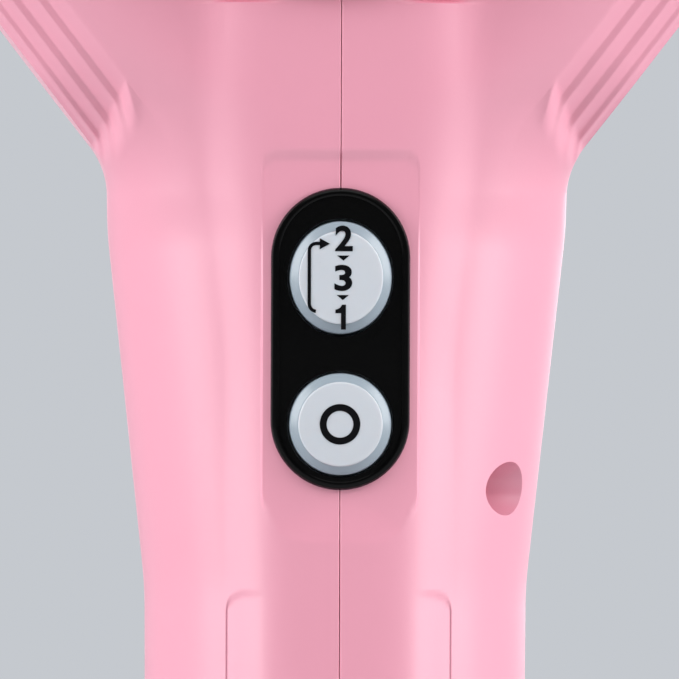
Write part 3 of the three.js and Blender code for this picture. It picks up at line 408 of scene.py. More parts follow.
def filleted(corners: Sequence[tuple[float, float, float]], steps: int = 5) -> list[Point2]:
    """Rounds the corners of a closed outline.

    Args:
        corners: first coordinate, second coordinate and radius of each corner, in order.
        steps: how many stretches each arc has.

    Returns:
        The rounded outline's points.
    """
    out: list[Point2] = []
    count = len(corners)
    for i, (u, v, radius) in enumerate(corners):
        corner = np.array([u, v])
        before = np.array(corners[i - 1][:2]) - corner
        after = np.array(corners[(i + 1) % count][:2]) - corner
        to_before, to_after = np.linalg.norm(before), np.linalg.norm(after)
        if radius <= 0 or min(to_before, to_after) < 1e-9:
            out.append((u, v))
            continue
        before, after = before / to_before, after / to_after
        half = math.acos(float(np.clip(before @ after, -1, 1))) / 2
        reach = min(radius / math.tan(half), 0.49 * to_before, 0.49 * to_after)
        start, end = corner + before * reach, corner + after * reach
        for k in range(steps + 1):
            t = k / steps
            out.append(tuple((1 - t) ** 2 * start + 2 * t * (1 - t) * corner + t * t * end))
    return out


def lathe(
    profile: Sequence[Point2], height: float, segments: int = 128, stretch: float = 1.0
) -> tuple[np.ndarray, list[list[int]]]:
    """Turns a closed profile about an axis along Y.

    Args:
        profile: radius and y of each point; a point on the axis has radius 0.
        height: z of the axis.
        segments: steps round.
        stretch: how much taller than wide the round is.

    Returns:
        Points in millimetres and faces that look outwards.
    """
    ring = list(profile)
    if signed_area(np.array(ring)) < 0:
        ring.reverse()
    points: list[tuple[float, float, float]] = []
    rows: list[list[int]] = []
    angles = np.linspace(0, 2 * math.pi, segments, endpoint=False)
    for radius, y in ring:
        if radius < 1e-9:
            rows.append([len(points)] * segments)
            points.append((0.0, y, height))
            continue
        rows.append(list(range(len(points), len(points) + segments)))
        tall = stretch * radius
        points.extend((radius * math.sin(a), y, height + tall * math.cos(a)) for a in angles)
    faces = []
    for i, row in enumerate(rows):
        after = rows[(i + 1) % len(rows)]
        if row[0] == row[1] and after[0] == after[1]:
            continue
        for k in range(segments):
            m = (k + 1) % segments
            quad = [row[k], row[m], after[m], after[k]]
            face = [v for n, v in enumerate(quad) if v != quad[n - 1]]
            if len(set(face)) > 2:
                faces.append(face)
    return np.array(points), faces


def stadium(half_width: float, half_length: float, height: float, steps: int = 40) -> np.ndarray:
    """Upright slot outline in x and z, anticlockwise seen from the thumb side.

    Args:
        half_width: half its width.
        half_length: half its length, round ends included.
        height: z of its middle.
        steps: stretches in each half circle.

    Returns:
        Rows of x and z.
    """
    straight = half_length - half_width
    turn = np.linspace(0, math.pi, steps + 1)
    top = np.c_[half_width * np.cos(turn), height + straight + half_width * np.sin(turn)]
    bottom = np.c_[-half_width * np.cos(turn), height - straight - half_width * np.sin(turn)]
    return np.vstack([top, bottom])


def stacked(rings: Sequence[np.ndarray], close_ends: bool = True) -> tuple[np.ndarray, list[list[int]]]:
    """Skins a run of outlines that have the same number of points.

    Args:
        rings: each outline's points in x, y, z, in order from the first end to the last.
        close_ends: whether the two ends get a face.

    Returns:
        Points and faces.
    """
    count = len(rings[0])
    faces = []
    for i in range(len(rings) - 1):
        for k in range(count):
            m = (k + 1) % count
            faces.append([i * count + k, i * count + m, (i + 1) * count + m, (i + 1) * count + k])
    if close_ends:
        faces.append(list(range(count))[::-1])
        faces.append(list(range((len(rings) - 1) * count, len(rings) * count)))
    return np.vstack(rings), faces


def cut(piece: bpy.types.Object, cutters: Iterable[bpy.types.Object], union: bool = False) -> None:
    """Cuts pieces out of a piece, or joins them to it, and deletes them.

    Args:
        piece: the piece that is changed.
        cutters: closed objects.
        union: joins instead of cutting.
    """
    for cutter in cutters:
        modifier = piece.modifiers.new("cut", "BOOLEAN")
        modifier.operation = "UNION" if union else "DIFFERENCE"
        modifier.solver = "MANIFOLD"
        modifier.object = cutter
        mesh = plain_mesh(piece)
        piece.modifiers.remove(modifier)
        piece.data = mesh
        bpy.data.objects.remove(cutter)


def draft_object(points: np.ndarray, faces: Sequence[Sequence[int]]) -> bpy.types.Object:
    """A bare closed object for cutting or joining.

    Args:
        points: rows of x, y, z in millimetres about the handle's axis.
        faces: corner numbers of each face.

    Returns:
        The linked object.
    """
    mesh = drafted_mesh("tool", points, faces)
    mesh.update()
    return linked("tool", mesh)


# ---- casing ------------------------------------------------------------------------------------------


@dataclass
class OutlineRow:
    """One row of the casing: a point of its outline and which way is inwards.

    Args:
        x: distance from the middle plane.
        z: height.
        nx: inward normal, sideways.
        nz: inward normal, upwards.
        head: 0 on the handle, 1 on the head.
    """

    x: float
    z: float
    nx: float
    nz: float
    head: float = 0.0


@dataclass
class Casing:
    """The two pink casing halves: handle, flared neck with stepped ribs, and head.

    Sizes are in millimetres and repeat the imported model's, with finer detail.
    """

    end_height: float = 6.3
    end_half: float = 18.1
    grip_half: float = 18.5
    grip_to_panel: float = 24.0
    neck_half: float = 22.25
    neck_to_panel: float = 10.5
    flare_rise: float = 6.07
    flare_slope: float = 0.77
    neck_fillet: float = 8.0
    shoulder_fillet: float = 25.0
    head_radius: float = 39.5
    silhouette_y: float = -1.0
    back_y: float = -20.0
    front_y: float = 20.0
    head_edge_y: float = -12.5
    head_front_edge_y: float = 14.0
    head_edge_round: float = 16.0
    head_drop: float = 1.2
    head_front_round: float = 4.0
    section_power: float = 2.2
    end_thin: float = 0.9
    wall: float = 2.2
    seam_gap: float = 0.05
    seam_round: float = 0.14
    spine_rise: float = 1.0
    spine_flatness: float = 0.5
    spine_round: Point2 = (1.7, 2.3)
    crease_half: Point2 = (11.3, 14.0)
    crease_zone: Point2 = (-5.0, 25.0)
    head_zone: Point2 = (8.0, 26.0)
    fine_zone: float = 36.0
    seam_wide_zone: Point2 = (14.0, 14.8)
    intake_radius: float = 25.2
    barrel_opening: float = 35.3
    collar_radius: float = 27.6
    collar_slope: float = 2.4
    rib_starts: tuple[float, ...] = (0.38, 1.3, 3.03, 5.0)
    rib_ends: tuple[float, ...] = (0.75, 2.28, 4.25, 6.35)
    rib_levels: tuple[float, ...] = (1.5, 3.2, 5.1, 7.1)
    rib_base: float = 0.45
    tread_rise: float = 0.1
    rib_soft: float = 0.07
    rib_fade_from: float = 15.6
    rib_fade_length: float = 3.0
    rib_end_lean: float = 0.61
    recess_half_width: float = 7.55
    recess_top: float = 17.6
    recess_bottom: float = -19.3
    recess_depth: float = 0.36
    recess_round: float = 0.5
    recess_edge: float = 0.11
    recess_corners: Point2 = (4.6, 1.3)
    recess_fade: Point2 = (1.0, 4.5)
    pad_half_width: float = 10.8
    pad_top: float = -24.6
    pad_depth: float = 0.16
    well_radius: float = 2.6
    well_to_panel: float = -14.4
    well_y: float = -12.3
    well_floor: float = 7.0
    tube_wall: float = 1.3
    tube_floor: float = 1.8
    low_well_height: float = 38.0
    well_steps: int = 64
    panel_opening: Point2 = (6.25, 14.1)
    panel_opening_y: Point2 = (-30.0, -12.0)
    fine_step: float = 0.3
    coarse_step: float = 1.8
    inner_stride: int = 6

    def outline(self) -> list[OutlineRow]:
        """Walks the right half's outline from the handle's end to the crown.

        Returns:
            Rows, close together where the ribs and the panel are.
        """
        flare_start = self.neck_to_panel + self.flare_rise
        flare_top = flare_start + (self.head_radius - self.neck_half) / self.flare_slope
        corners = [
            (self.end_half, self.end_height, 0.0),
            (self.grip_half, DATUM.panel - self.grip_to_panel, 40.0),
            (self.neck_half, DATUM.panel + self.neck_to_panel, 40.0),
            (self.neck_half, DATUM.panel + flare_start, self.neck_fillet),
            (self.head_radius, DATUM.panel + flare_top, self.shoulder_fillet),
            (self.head_radius, DATUM.head, 0.0),
        ]
        rows = self.rounded_chain(corners)
        steps = int(self.head_radius * math.pi / 2 / self.coarse_step)
        for k in range(1, steps + 1):
            angle = math.pi / 2 * k / steps
            nx, nz = -math.cos(angle), -math.sin(angle)
            rows.append(OutlineRow(-nx * self.head_radius, DATUM.head - nz * self.head_radius, nx, nz))
        for row in rows:
            row.head = float(smooth(*self.head_zone, row.z - DATUM.panel))
        return rows

    def step_at(self, height: float) -> float:
        """Row spacing at a height: fine round the panel and the ribs, coarse elsewhere."""
        above = height - DATUM.panel
        if abs(above - self.recess_top) < 0.4 or abs(above - self.pad_top) < 0.4:
            return self.fine_step / 4
        return self.fine_step if abs(above) < self.fine_zone else self.coarse_step

    def rounded_chain(self, corners: Sequence[tuple[float, float, float]]) -> list[OutlineRow]:
        """Samples a chain of straight stretches joined by arcs.

        Args:
            corners: x, z and radius of each corner.

        Returns:
            Rows with inward normals.
        """
        rows: list[OutlineRow] = []
        here = np.array(corners[0][:2])

        def straight(to: np.ndarray) -> None:
            """Adds the rows of a straight stretch from here up to a point."""
            run = to - here
            length = float(np.linalg.norm(run))
            normal = np.array([-run[1], run[0]]) / length
            done = 0.0
            while done < length - 1e-6:
                at = here + run * done / length
                rows.append(OutlineRow(*at, *normal))
                done += min(self.step_at(at[1]), length - done)

        for i in range(1, len(corners)):
            corner, radius = np.array(corners[i][:2]), corners[i][2]
            if i == len(corners) - 1:
                straight(corner)
                normal = rows[-1]
                rows.append(OutlineRow(*corner, normal.nx, normal.nz))
                break
            into = (corner - here) / np.linalg.norm(corner - here)
            out = np.array(corners[i + 1][:2]) - corner
            out = out / np.linalg.norm(out)
            turn = float(into[0] * out[1] - into[1] * out[0])
            angle = math.asin(turn)
            start = corner - into * radius * math.tan(abs(angle) / 2)
            straight(start)
            side = np.array([-into[1], into[0]]) * math.copysign(1, turn)
            centre = start + side * radius
            steps = max(2, math.ceil(abs(angle) * radius / self.step_at(corner[1])))
            for k in range(steps + 1):
                a = angle * k / steps
                spoke = start - centre
                spoke = np.array([
                    spoke[0] * math.cos(a) - spoke[1] * math.sin(a),
                    spoke[0] * math.sin(a) + spoke[1] * math.cos(a),
                ])
                normal = -spoke / radius * math.copysign(1, turn)
                if k < steps:
                    rows.append(OutlineRow(*(centre + spoke), *normal))
                else:
                    here = centre + spoke
        return rows

    def bulge(self, share: np.ndarray) -> np.ndarray:
        """Rise of the rounded section at a share of the way in from its edge."""
        out = 1 - np.clip(share, 0.0, 1.0)
        return (1 - out**self.section_power) ** (1 / self.section_power)

    def inner_ends(self, anchors: np.ndarray, opening: float) -> np.ndarray:
        """Where each row ends inwards: on the middle plane, or on a round opening.

        Args:
            anchors: x and z where each row sets out.
            opening: radius of the opening about the barrel axis.

        Returns:
            Rows of x and z.
        """
        ends = np.zeros_like(anchors)
        first = None
        for i, (x, z) in enumerate(anchors):
            if z < DATUM.head - opening:
                ends[i] = (0.0, z)
                continue
            angle = math.atan2(z - DATUM.head, x)
            first = angle if first is None else first
            turned = -math.pi / 2 * angle / first if angle < 0 else angle
            ends[i] = (math.cos(turned) * opening, DATUM.head + math.sin(turned) * opening)
        return ends

    def rib_height(self, inwards: np.ndarray) -> np.ndarray:
        """Height of the stepped ribs at distances in from the casing's edge."""
        marks, levels = [0.0], [0.0]
        for i, (start, end) in enumerate(zip(self.rib_starts, self.rib_ends)):
            below = self.rib_levels[i - 1] if i else self.rib_base
            marks += [start, end]
            levels += [below + self.tread_rise, self.rib_levels[i]]
        offsets = np.linspace(-self.rib_soft, self.rib_soft, 5)
        samples = [np.interp(np.clip(inwards + o, 0, None), marks, levels) for o in offsets]
        return np.mean(samples, axis=0)

    def depth_share(self, height: np.ndarray) -> np.ndarray:
        """How thick the handle is front to back, as a share of its depth at the panel."""
        return mix(self.end_thin, 1.0, smooth(0, DATUM.panel - 30, height))

    def rounded_box(self, x, z, half_width, low, high, low_round, high_round) -> np.ndarray:
        """Signed distance to an upright rounded box on the middle plane, negative inside."""
        radius = np.where(z > (low + high) / 2, high_round, low_round)
        dx = np.abs(x) - (half_width - radius)
        dz = np.abs(z - (low + high) / 2) - ((high - low) / 2 - radius)
        outside = np.hypot(np.maximum(dx, 0), np.maximum(dz, 0))
        return outside + np.minimum(np.maximum(dx, dz), 0) - radius

    def recess(self, x: np.ndarray, above: np.ndarray) -> np.ndarray:
        """Share of the shallow recess round the control panel, which runs out at its foot."""
        edge = self.recess_edge
        away = self.rounded_box(
            x, above, self.recess_half_width, self.recess_bottom, self.recess_top, *self.recess_corners)
        middle = np.clip(1 - np.abs(x) / self.recess_half_width, 0, 1)
        reach = mix(*self.recess_fade, middle)
        shown = smooth(self.recess_bottom - 1, self.recess_bottom + reach, above)
        return shown * (1 - smooth(-edge, edge, away))

    def grip_pad(self, x: np.ndarray, above: np.ndarray) -> np.ndarray:
        """Depth of the fine step lines that edge the grip below the panel."""
        away = self.rounded_box(x, above, self.pad_half_width, -140.0, self.pad_top, 1.0, 1.6)
        side = smooth(self.pad_half_width - 4.0, self.pad_half_width - 0.6, np.abs(x))
        return self.pad_depth * side * (1 - smooth(-0.1, 0.1, away))

    def back_y_at(
        self, row: OutlineRow, x: np.ndarray, z: np.ndarray, inwards: np.ndarray, wall: float
    ) -> np.ndarray:
        """The thumb side's y along a row.

        Args:
            row: the row.
            x: distances from the middle plane.
            z: heights.
            inwards: distances in from the casing's edge.
            wall: 0 for the outer face, which has its detail, or the wall's thickness for the inner one.

        Returns:
            y of each point.
        """
        round_ = mix(row.x, self.head_edge_round, row.head) - wall
        edge = mix(self.silhouette_y, self.head_edge_y, row.head)
        drop = self.head_drop * row.head
        depth = edge - self.back_y - drop - wall
        rise = depth * self.bulge(inwards / round_)
        if wall == 0:
            band = self.rib_ends[-1]
            above = z - DATUM.panel
            fade = self.rib_fade_from + inwards
            strength = np.where(inwards < band, smooth(0, self.rib_fade_length, above - fade), 0.0)
            full = depth * self.bulge(np.array(band / round_))
            short = np.clip(fade + self.rib_fade_length - above, 0, self.rib_fade_length)
            upright = self.rib_end_lean * short
            ribs = self.rib_height(np.minimum(inwards + upright, band))
            rise = mix(rise, full * ribs / self.rib_levels[-1], strength)
            on_neck = smooth(*self.crease_zone, above)
            crease = mix(*self.crease_half, on_neck)
            roundness = mix(*self.spine_round, on_neck)
            on_spine = 0.5 + 0.5 * np.cos(math.pi * np.clip(x / crease, 0, 1) ** roundness)
            from_axis = np.hypot(x, z - DATUM.head)
            on_collar = 1 - smooth(0, self.collar_slope, from_axis - self.collar_radius)
            below_head = np.where(z < DATUM.head - self.collar_radius, on_spine, 0.0)
            flatter = self.spine_flatness * np.maximum(0, depth - rise) * (1 - row.head)
            rise = rise + np.maximum(below_head, on_collar) * (self.spine_rise + drop + flatter)
            crown = depth + drop + self.spine_rise
            floor = mix(crown, rise, self.recess_round) - self.recess_depth
            rise = mix(rise, floor, self.recess(x, above)) - self.grip_pad(x, above)
        share = 1.0 if row.head > 0 else self.depth_share(z)
        return (edge - rise) * share

    def column_shares(self, span: float) -> np.ndarray:
        """Where the columns lie along a row's inner stretch, close at the seam and at each step.

        Args:
            span: length of the stretch, in millimetres.

        Returns:
            Shares of the stretch, from 0 to just under 1.
        """
        near, pad = self.recess_half_width, self.pad_half_width
        seam = self.seam_round * 1.3
        marks = [0.0, seam, near - 0.25, near + 0.25, pad - 0.3, pad + 0.3, max(span - 0.35, pad + 0.5)]
        counts = [5, 20, 22, 9, 14, 10]
        runs = [np.linspace(a, b, n, endpoint=False) for a, b, n in zip(marks, marks[1:], counts)]
        return np.r_[np.concatenate(runs), marks[-1]] / max(span, marks[-1] + 0.2)

    def surface(self, rows: Sequence[OutlineRow], wall: float) -> np.ndarray:
        """One wall surface of the right half, as a grid of points.

        Args:
            rows: the outline's rows.
            wall: 0 for the outer face, or the wall's thickness for the inner face.

        Returns:
            Points in millimetres, rows by columns by 3.
        """
        out = np.array([[r.x, r.z] for r in rows])
        normals = np.array([[r.nx, r.nz] for r in rows])
        edges = out + normals * wall
        band = self.rib_ends[-1]
        anchors = edges + normals * band
        back_ends = self.inner_ends(anchors, self.intake_radius)
        front_ends = self.inner_ends(edges, self.barrel_opening)
        insets = np.r_[np.linspace(band, 0.3, 78), 0.2, 0.12, 0.06, 0.02, 0.0]
        front_shares = np.r_[
            0.0, 0.004, 0.015, 0.035, 0.07, 0.12, 0.18, 0.25, 0.35, 0.5, 0.66, 0.82, 0.94, 1.0]
        grid = []
        for i, row in enumerate(rows):
            span = float(np.linalg.norm(anchors[i] - back_ends[i]))
            shares = self.column_shares(span)
            inner = back_ends[i] + shares[:, None] * (anchors[i] - back_ends[i])
            outer = edges[i] + insets[:, None] * normals[i]
            at = np.vstack([inner, outer])
            inwards = np.r_[band + span * (1 - shares), insets]
            y = self.back_y_at(row, at[:, 0], at[:, 1], inwards, wall)
            edge_front = mix(self.silhouette_y + 2, self.head_front_edge_y, row.head)
            round_ = mix(row.x, self.head_front_round, row.head) - wall * (1 - row.head / 2)
            reach = float(np.linalg.norm(edges[i] - front_ends[i]))
            front = edges[i] + front_shares[:, None] * (front_ends[i] - edges[i])
            rise = (self.front_y - edge_front - wall) * self.bulge(reach * front_shares / round_)
            thin = 1.0 if row.head > 0 else float(self.depth_share(row.z))
            points = np.vstack([
                np.c_[at[:, 0], y, at[:, 1]],
                np.c_[front[:, 0], (edge_front + rise) * thin, front[:, 1]],
            ])
            if i == len(rows) - 1:
                points[:, 0] = 0.0
            grid.append(points)
        made = np.array(grid)
        made[:, :, 0] = np.maximum(made[:, :, 0], 0.0)
        if wall == 0:
            away, above = made[:, :, 0], made[:, :, 2] - DATUM.panel
            wide = smooth(*self.seam_wide_zone, above)
            wide *= 1 - smooth(self.recess_top - 0.3, self.recess_top, above)
            groove = np.clip(1 - away / self.seam_round, 0, 1) ** 2 * self.seam_round * (1.2 + wide)
            back = made[:, :, 1] < 0
            made[:, :, 1] += np.where(back, groove, -groove)
        made[:, :, 0] = np.maximum(made[:, :, 0], self.seam_gap / 2)
        return made

    def half(self) -> tuple[np.ndarray, list[list[int]]]:
        """The right half as a closed wall: fine outer face, coarser inner face.

        Returns:
            Points in millimetres and faces that look outwards.
        """
        rows = self.outline()
        outer, inner = self.surface(rows, 0.0), self.surface(rows, self.wall)
        count, columns = outer.shape[:2]
        stride = self.inner_stride

        def coarse(n: int, last: int) -> int:
            """The inner face's row or column that stands for the outer face's n."""
            return n if n == last else min(last, n // stride * stride)

        numbers = np.arange(count * columns).reshape(count, columns)
        inner_numbers = np.array([
            [(count + coarse(i, count - 1)) * columns + coarse(j, columns - 1) for j in range(columns)]
            for i in range(count)
        ])
        faces: list[list[int]] = []

        def quad(*corners: int) -> None:
            """Adds a face, unless its corners fall together."""
            face = [c for n, c in enumerate(corners) if c != corners[n - 1]]
            if len(set(face)) > 2:
                faces.append(face)

        for i in range(count - 1):
            for j in range(columns - 1):
                a, b, c, d = numbers[i, j], numbers[i, j + 1], numbers[i + 1, j + 1], numbers[i + 1, j]
                faces.append([a, b, c, d])
                a, b = inner_numbers[i, j], inner_numbers[i, j + 1]
                c, d = inner_numbers[i + 1, j + 1], inner_numbers[i + 1, j]
                quad(a, d, c, b)
            quad(numbers[i, 0], numbers[i + 1, 0], inner_numbers[i + 1, 0], inner_numbers[i, 0])
            quad(numbers[i + 1, -1], numbers[i, -1], inner_numbers[i, -1], inner_numbers[i + 1, -1])
        for j in range(columns - 1):
            quad(numbers[0, j + 1], numbers[0, j], inner_numbers[0, j], inner_numbers[0, j + 1])
            quad(numbers[-1, j], numbers[-1, j + 1], inner_numbers[-1, j + 1], inner_numbers[-1, j])
        points = np.vstack([outer.reshape(-1, 3), inner.reshape(-1, 3)])
        used = np.unique(np.concatenate([np.array(f) for f in faces]))
        renumber = np.full(len(points), -1)
        renumber[used] = np.arange(len(used))
        return points[used], [[int(renumber[v]) for v in face] for face in faces]

    def well_cutter(self, y: float, height: float) -> bpy.types.Object:
        """The bore of a screw well, as a cutting tool."""
        circle = unit_circle(self.well_steps) * self.well_radius + np.array([y, height])
        ends = (self.well_floor, self.head_radius + 0.5)
        return draft_object(*stacked([np.c_[np.full(len(circle), x), circle] for x in ends]))

    def well_tube(self, y: float, height: float) -> bpy.types.Object:
        """The tube round a screw well, from its floor to the middle of the wall, as a joining tool."""
        wall_rows = self.outline()
        grid = self.surface(wall_rows, self.wall / 2)
        row = int(np.argmin([abs(r.z - height) for r in wall_rows]))
        radius = self.well_radius + self.tube_wall
        circle = unit_circle(self.well_steps) * radius + np.array([y, height])
        order = np.argsort(grid[row, :, 1])
        ends = np.interp(circle[:, 0], grid[row, order, 1], grid[row, order, 0])
        floor = np.full(len(circle), self.well_floor - self.tube_floor)
        return draft_object(*stacked([np.c_[floor, circle], np.c_[ends, circle]]))

    def panel_cutter(self) -> bpy.types.Object:
        """The opening behind the control panel, as a cutting tool."""
        outline = stadium(*self.panel_opening, DATUM.panel)[::-1]
        return draft_object(*stacked([at_y(outline, y) for y in self.panel_opening_y]))

    def build(self) -> None:
        """Makes both halves and hangs them on the casing body."""
        points, faces = self.half()
        wells = [
            (self.well_y, DATUM.panel + self.well_to_panel), (self.silhouette_y, self.low_well_height)]
        right = make_piece("right_casing_half", points, faces, PINK)
        cut(right, [self.well_tube(y, z) for y, z in wells], union=True)
        cut(right, [self.panel_cutter(), *(self.well_cutter(y, z) for y, z in wells)])
        mirrored = points * np.array([-1.0, 1.0, 1.0])
        left = make_piece("left_casing_half", mirrored, [f[::-1] for f in faces], PINK)
        cut(left, [self.panel_cutter()])
        for half, node in ((right, "right_shell"), (left, "left_shell")):
            dress(half, PINK, 40.0)
            settle(half, "casing", node)


# ---- control panel -----------------------------------------------------------------------------------


@dataclass
class ControlPanel:
    """The black panel, its two milky buttons and the generic marks printed on them."""

    half_width: float = 6.7
    half_length: float = 14.55
    face_y: float = -21.3
    back_y: float = -19.3
    seat_y: float = -19.95
    rim: float = 0.77
    rim_step: float = 0.14
    button_radius: float = 5.0
    speed_stretch: float = 1.104
    speed_to_panel: float = 5.9
    off_to_panel: float = -8.2
    proud: float = 1.2
    hole_gap: float = 0.15
    print_lift: float = 0.015
    print_root: float = 0.06
    stroke: float = 0.32
    bold: float = 0.029

    def bezel(self) -> None:
        """The panel: rounded rim, sunk face and two button holes."""
        profile = [
            (0.7, self.back_y), (0.7, self.seat_y), (0.0, self.seat_y), (0.0, self.face_y + 0.55),
            (0.05, self.face_y + 0.3), (0.18, self.face_y + 0.1), (0.38, self.face_y),
            (self.rim - 0.06, self.face_y), (self.rim, self.face_y + 0.03),
            (self.rim + 0.04, self.face_y + self.rim_step),
            (self.rim + 0.25, self.face_y + self.rim_step),
        ]
        points, faces = stacked([
            at_y(stadium(self.half_width - inset, self.half_length - inset, DATUM.panel), y)
            for inset, y in profile
        ])
        piece = make_piece("control_panel", points, faces, PANEL_BLACK)
        holes = []
        for height, stretch in self.buttons().values():
            radius = self.button_radius + self.hole_gap
            tool = lathe([(0, -30), (radius, -30), (radius, 0), (0, 0)], height, 96, stretch)
            holes.append(draft_object(*tool))
        cut(piece, holes)
        dress(piece, PANEL_BLACK, 30.0)
        settle(piece, "casing", "control_bezel")

    def buttons(self) -> dict[str, tuple[float, float]]:
        """Height and stretch of each button."""
        return {
            "speed": (DATUM.panel + self.speed_to_panel, self.speed_stretch),
            "off": (DATUM.panel + self.off_to_panel, 1.0),
        }

    def button(self, name: str, height: float, stretch: float) -> None:
        """One push button: plateau, sloping rim, flange and stem. The rim is a darker copy of the milk
        finish, which is painted shade.

        Args:
            name: which button.
            height: z of its middle.
            stretch: how much taller than wide it is.
        """
        top = self.face_y - self.proud
        radius = self.button_radius
        flange = self.back_y + 0.2
        corners = [
            (0.0, top, 0.0), (radius - 0.98, top + 0.03, 0.2), (radius - 0.88, top + 0.3, 0.1),
            (radius - 0.12, top + 0.85, 0.4), (radius, flange, 0.0), (radius + 0.8, flange, 0.0),
            (radius + 0.8, flange + 0.8, 0.1), (2.4, flange + 0.8, 0.0), (2.4, flange + 1.2, 0.0),
            (0.0, flange + 1.2, 0.0),
        ]
        points, faces = lathe(filleted(corners, 6), height, 128, stretch)
        piece = make_piece(f"{name}_button_cap", points, faces, MILK, 50.0)
        # Faces outside the plateau get the darker milk copy, which is painted shade on the sloping rim.
        piece.data.materials.append(MILK_RIM_PAINTED_SHADE.material())
        middle = Vector(DATUM.place(np.array([[0.0, top, height]]))[0])
        edge = (radius - 0.93) * MM
        for face in piece.data.polygons:
            away = face.center - middle
            if math.hypot(away.x, away.z / stretch) > edge:
                face.material_index = 1
        settle(piece, f"{name}_key", f"{name}_button")

    def flat_mark(
        self, name: str, body: str, outline: np.ndarray, hole: np.ndarray | None = None
    ) -> None:
        """A printed mark: a closed outline in x and height above the panel's middle, a hair thick.

        Args:
            name: the mark's name.
            body: the key that it is printed on.
            outline: rows of x and z.
            hole: an inner outline with as many points, for a ring.
        """
        top = self.face_y - self.proud
        front, back = top - self.print_lift, top + self.print_root
        raised = outline + np.array([0.0, DATUM.panel])
        rings = [at_y(raised, back), at_y(raised, front)]
        if hole is None:
            points, faces = stacked(rings)
        else:
            inner = hole + np.array([0.0, DATUM.panel])
            points, faces = stacked(
                [*rings, at_y(inner, front), at_y(inner, back), rings[0]], close_ends=False)
        if signed_area(outline) < 0:
            faces = [face[::-1] for face in faces]
        settle(make_piece(name, points, faces, INK), body)

    def digit(self, text: str, name: str, middle: Point2, height: float, width: float) -> None:
        """A printed numeral in a bold plain face.

        Args:
            text: the numeral.
            name: the mark's name.
            middle: x and height above the panel's middle.
            height: how tall it is.
            width: how wide it is.
        """
        curve = bpy.data.curves.new(name, "FONT")
        curve.body = text
        curve.offset = self.bold
        curve.extrude = 0.01
        curve.resolution_u = 8
        holder = linked(name, curve)
        mesh = plain_mesh(holder)
        bpy.data.objects.remove(holder)
        points = np.array([v.co[:] for v in mesh.vertices])
        faces = [list(face.vertices) for face in mesh.polygons]
        low, high = points.min(axis=0), points.max(axis=0)
        flat = (points - (low + high) / 2) / (high - low)
        front = self.face_y - self.proud - self.print_lift
        depth = self.print_lift + self.print_root
        placed = np.c_[
            middle[0] + flat[:, 0] * width, front + (0.5 - flat[:, 2]) * depth,
            DATUM.panel + middle[1] + flat[:, 1] * height,
        ]
        settle(make_piece(name, placed, faces, INK), "speed_key")

    def marks(self) -> None:
        """Numerals 2, 3 and 1 with two pointers, the turn-round arrow, and the ring for off."""
        self.digit("2", "mark_two", (0.27, 9.67), 2.47, 1.69)
        self.digit("3", "mark_three", (0.22, 5.87), 2.52, 1.70)
        stem = np.array([
            [0.50, -1.20], [0.50, 1.20], [0.14, 1.20], [-0.04, 0.92], [-0.26, 0.78], [-0.50, 0.72],
            [-0.50, 0.38], [0.03, 0.38], [0.03, -1.20],
        ])
        self.flat_mark("mark_one", "speed_key", stem + np.array([-0.02, 2.10]))
        for name, x, z in (("pointer_high", 0.226, 7.78), ("pointer_low", 0.178, 3.98)):
            corners = np.array([[x - 0.59, z + 0.245], [x, z - 0.245], [x + 0.59, z + 0.245]])
            self.flat_mark(name, "speed_key", corners[::-1])
        turn = np.linspace(0, math.pi / 2, 9)
        low = np.c_[-2.41 - 0.64 * np.sin(turn), 2.66 + 0.75 * (1 - np.cos(turn))]
        high = np.c_[-2.39 - 0.66 * np.cos(turn), 8.52 + 0.66 * np.sin(turn)]
        path = np.vstack([low, high, [[-2.0, 9.18]]])
        along = np.gradient(path, axis=0)
        along /= np.linalg.norm(along, axis=1)[:, None]
        side = np.c_[-along[:, 1], along[:, 0]] * self.stroke / 2
        self.flat_mark("turn_arrow_stem", "speed_key", np.vstack([path + side, (path - side)[::-1]]))
        head = np.array([[-2.05, 8.62], [-1.07, 9.15], [-2.05, 9.68]])
        self.flat_mark("turn_arrow_head", "speed_key", head)
        circle = unit_circle(72)
        middle = np.array([-0.05, self.off_to_panel])
        self.flat_mark("mark_off", "off_key", middle + 1.95 * circle, middle + 1.285 * circle)

    def build(self) -> None:
        """Makes the panel, its buttons and the marks on them."""
        self.bezel()
        for name, (height, stretch) in self.buttons().items():
            self.button(name, height, stretch)
        self.marks()


# ---- repeated and wound shapes -----------------------------------------------------------------------


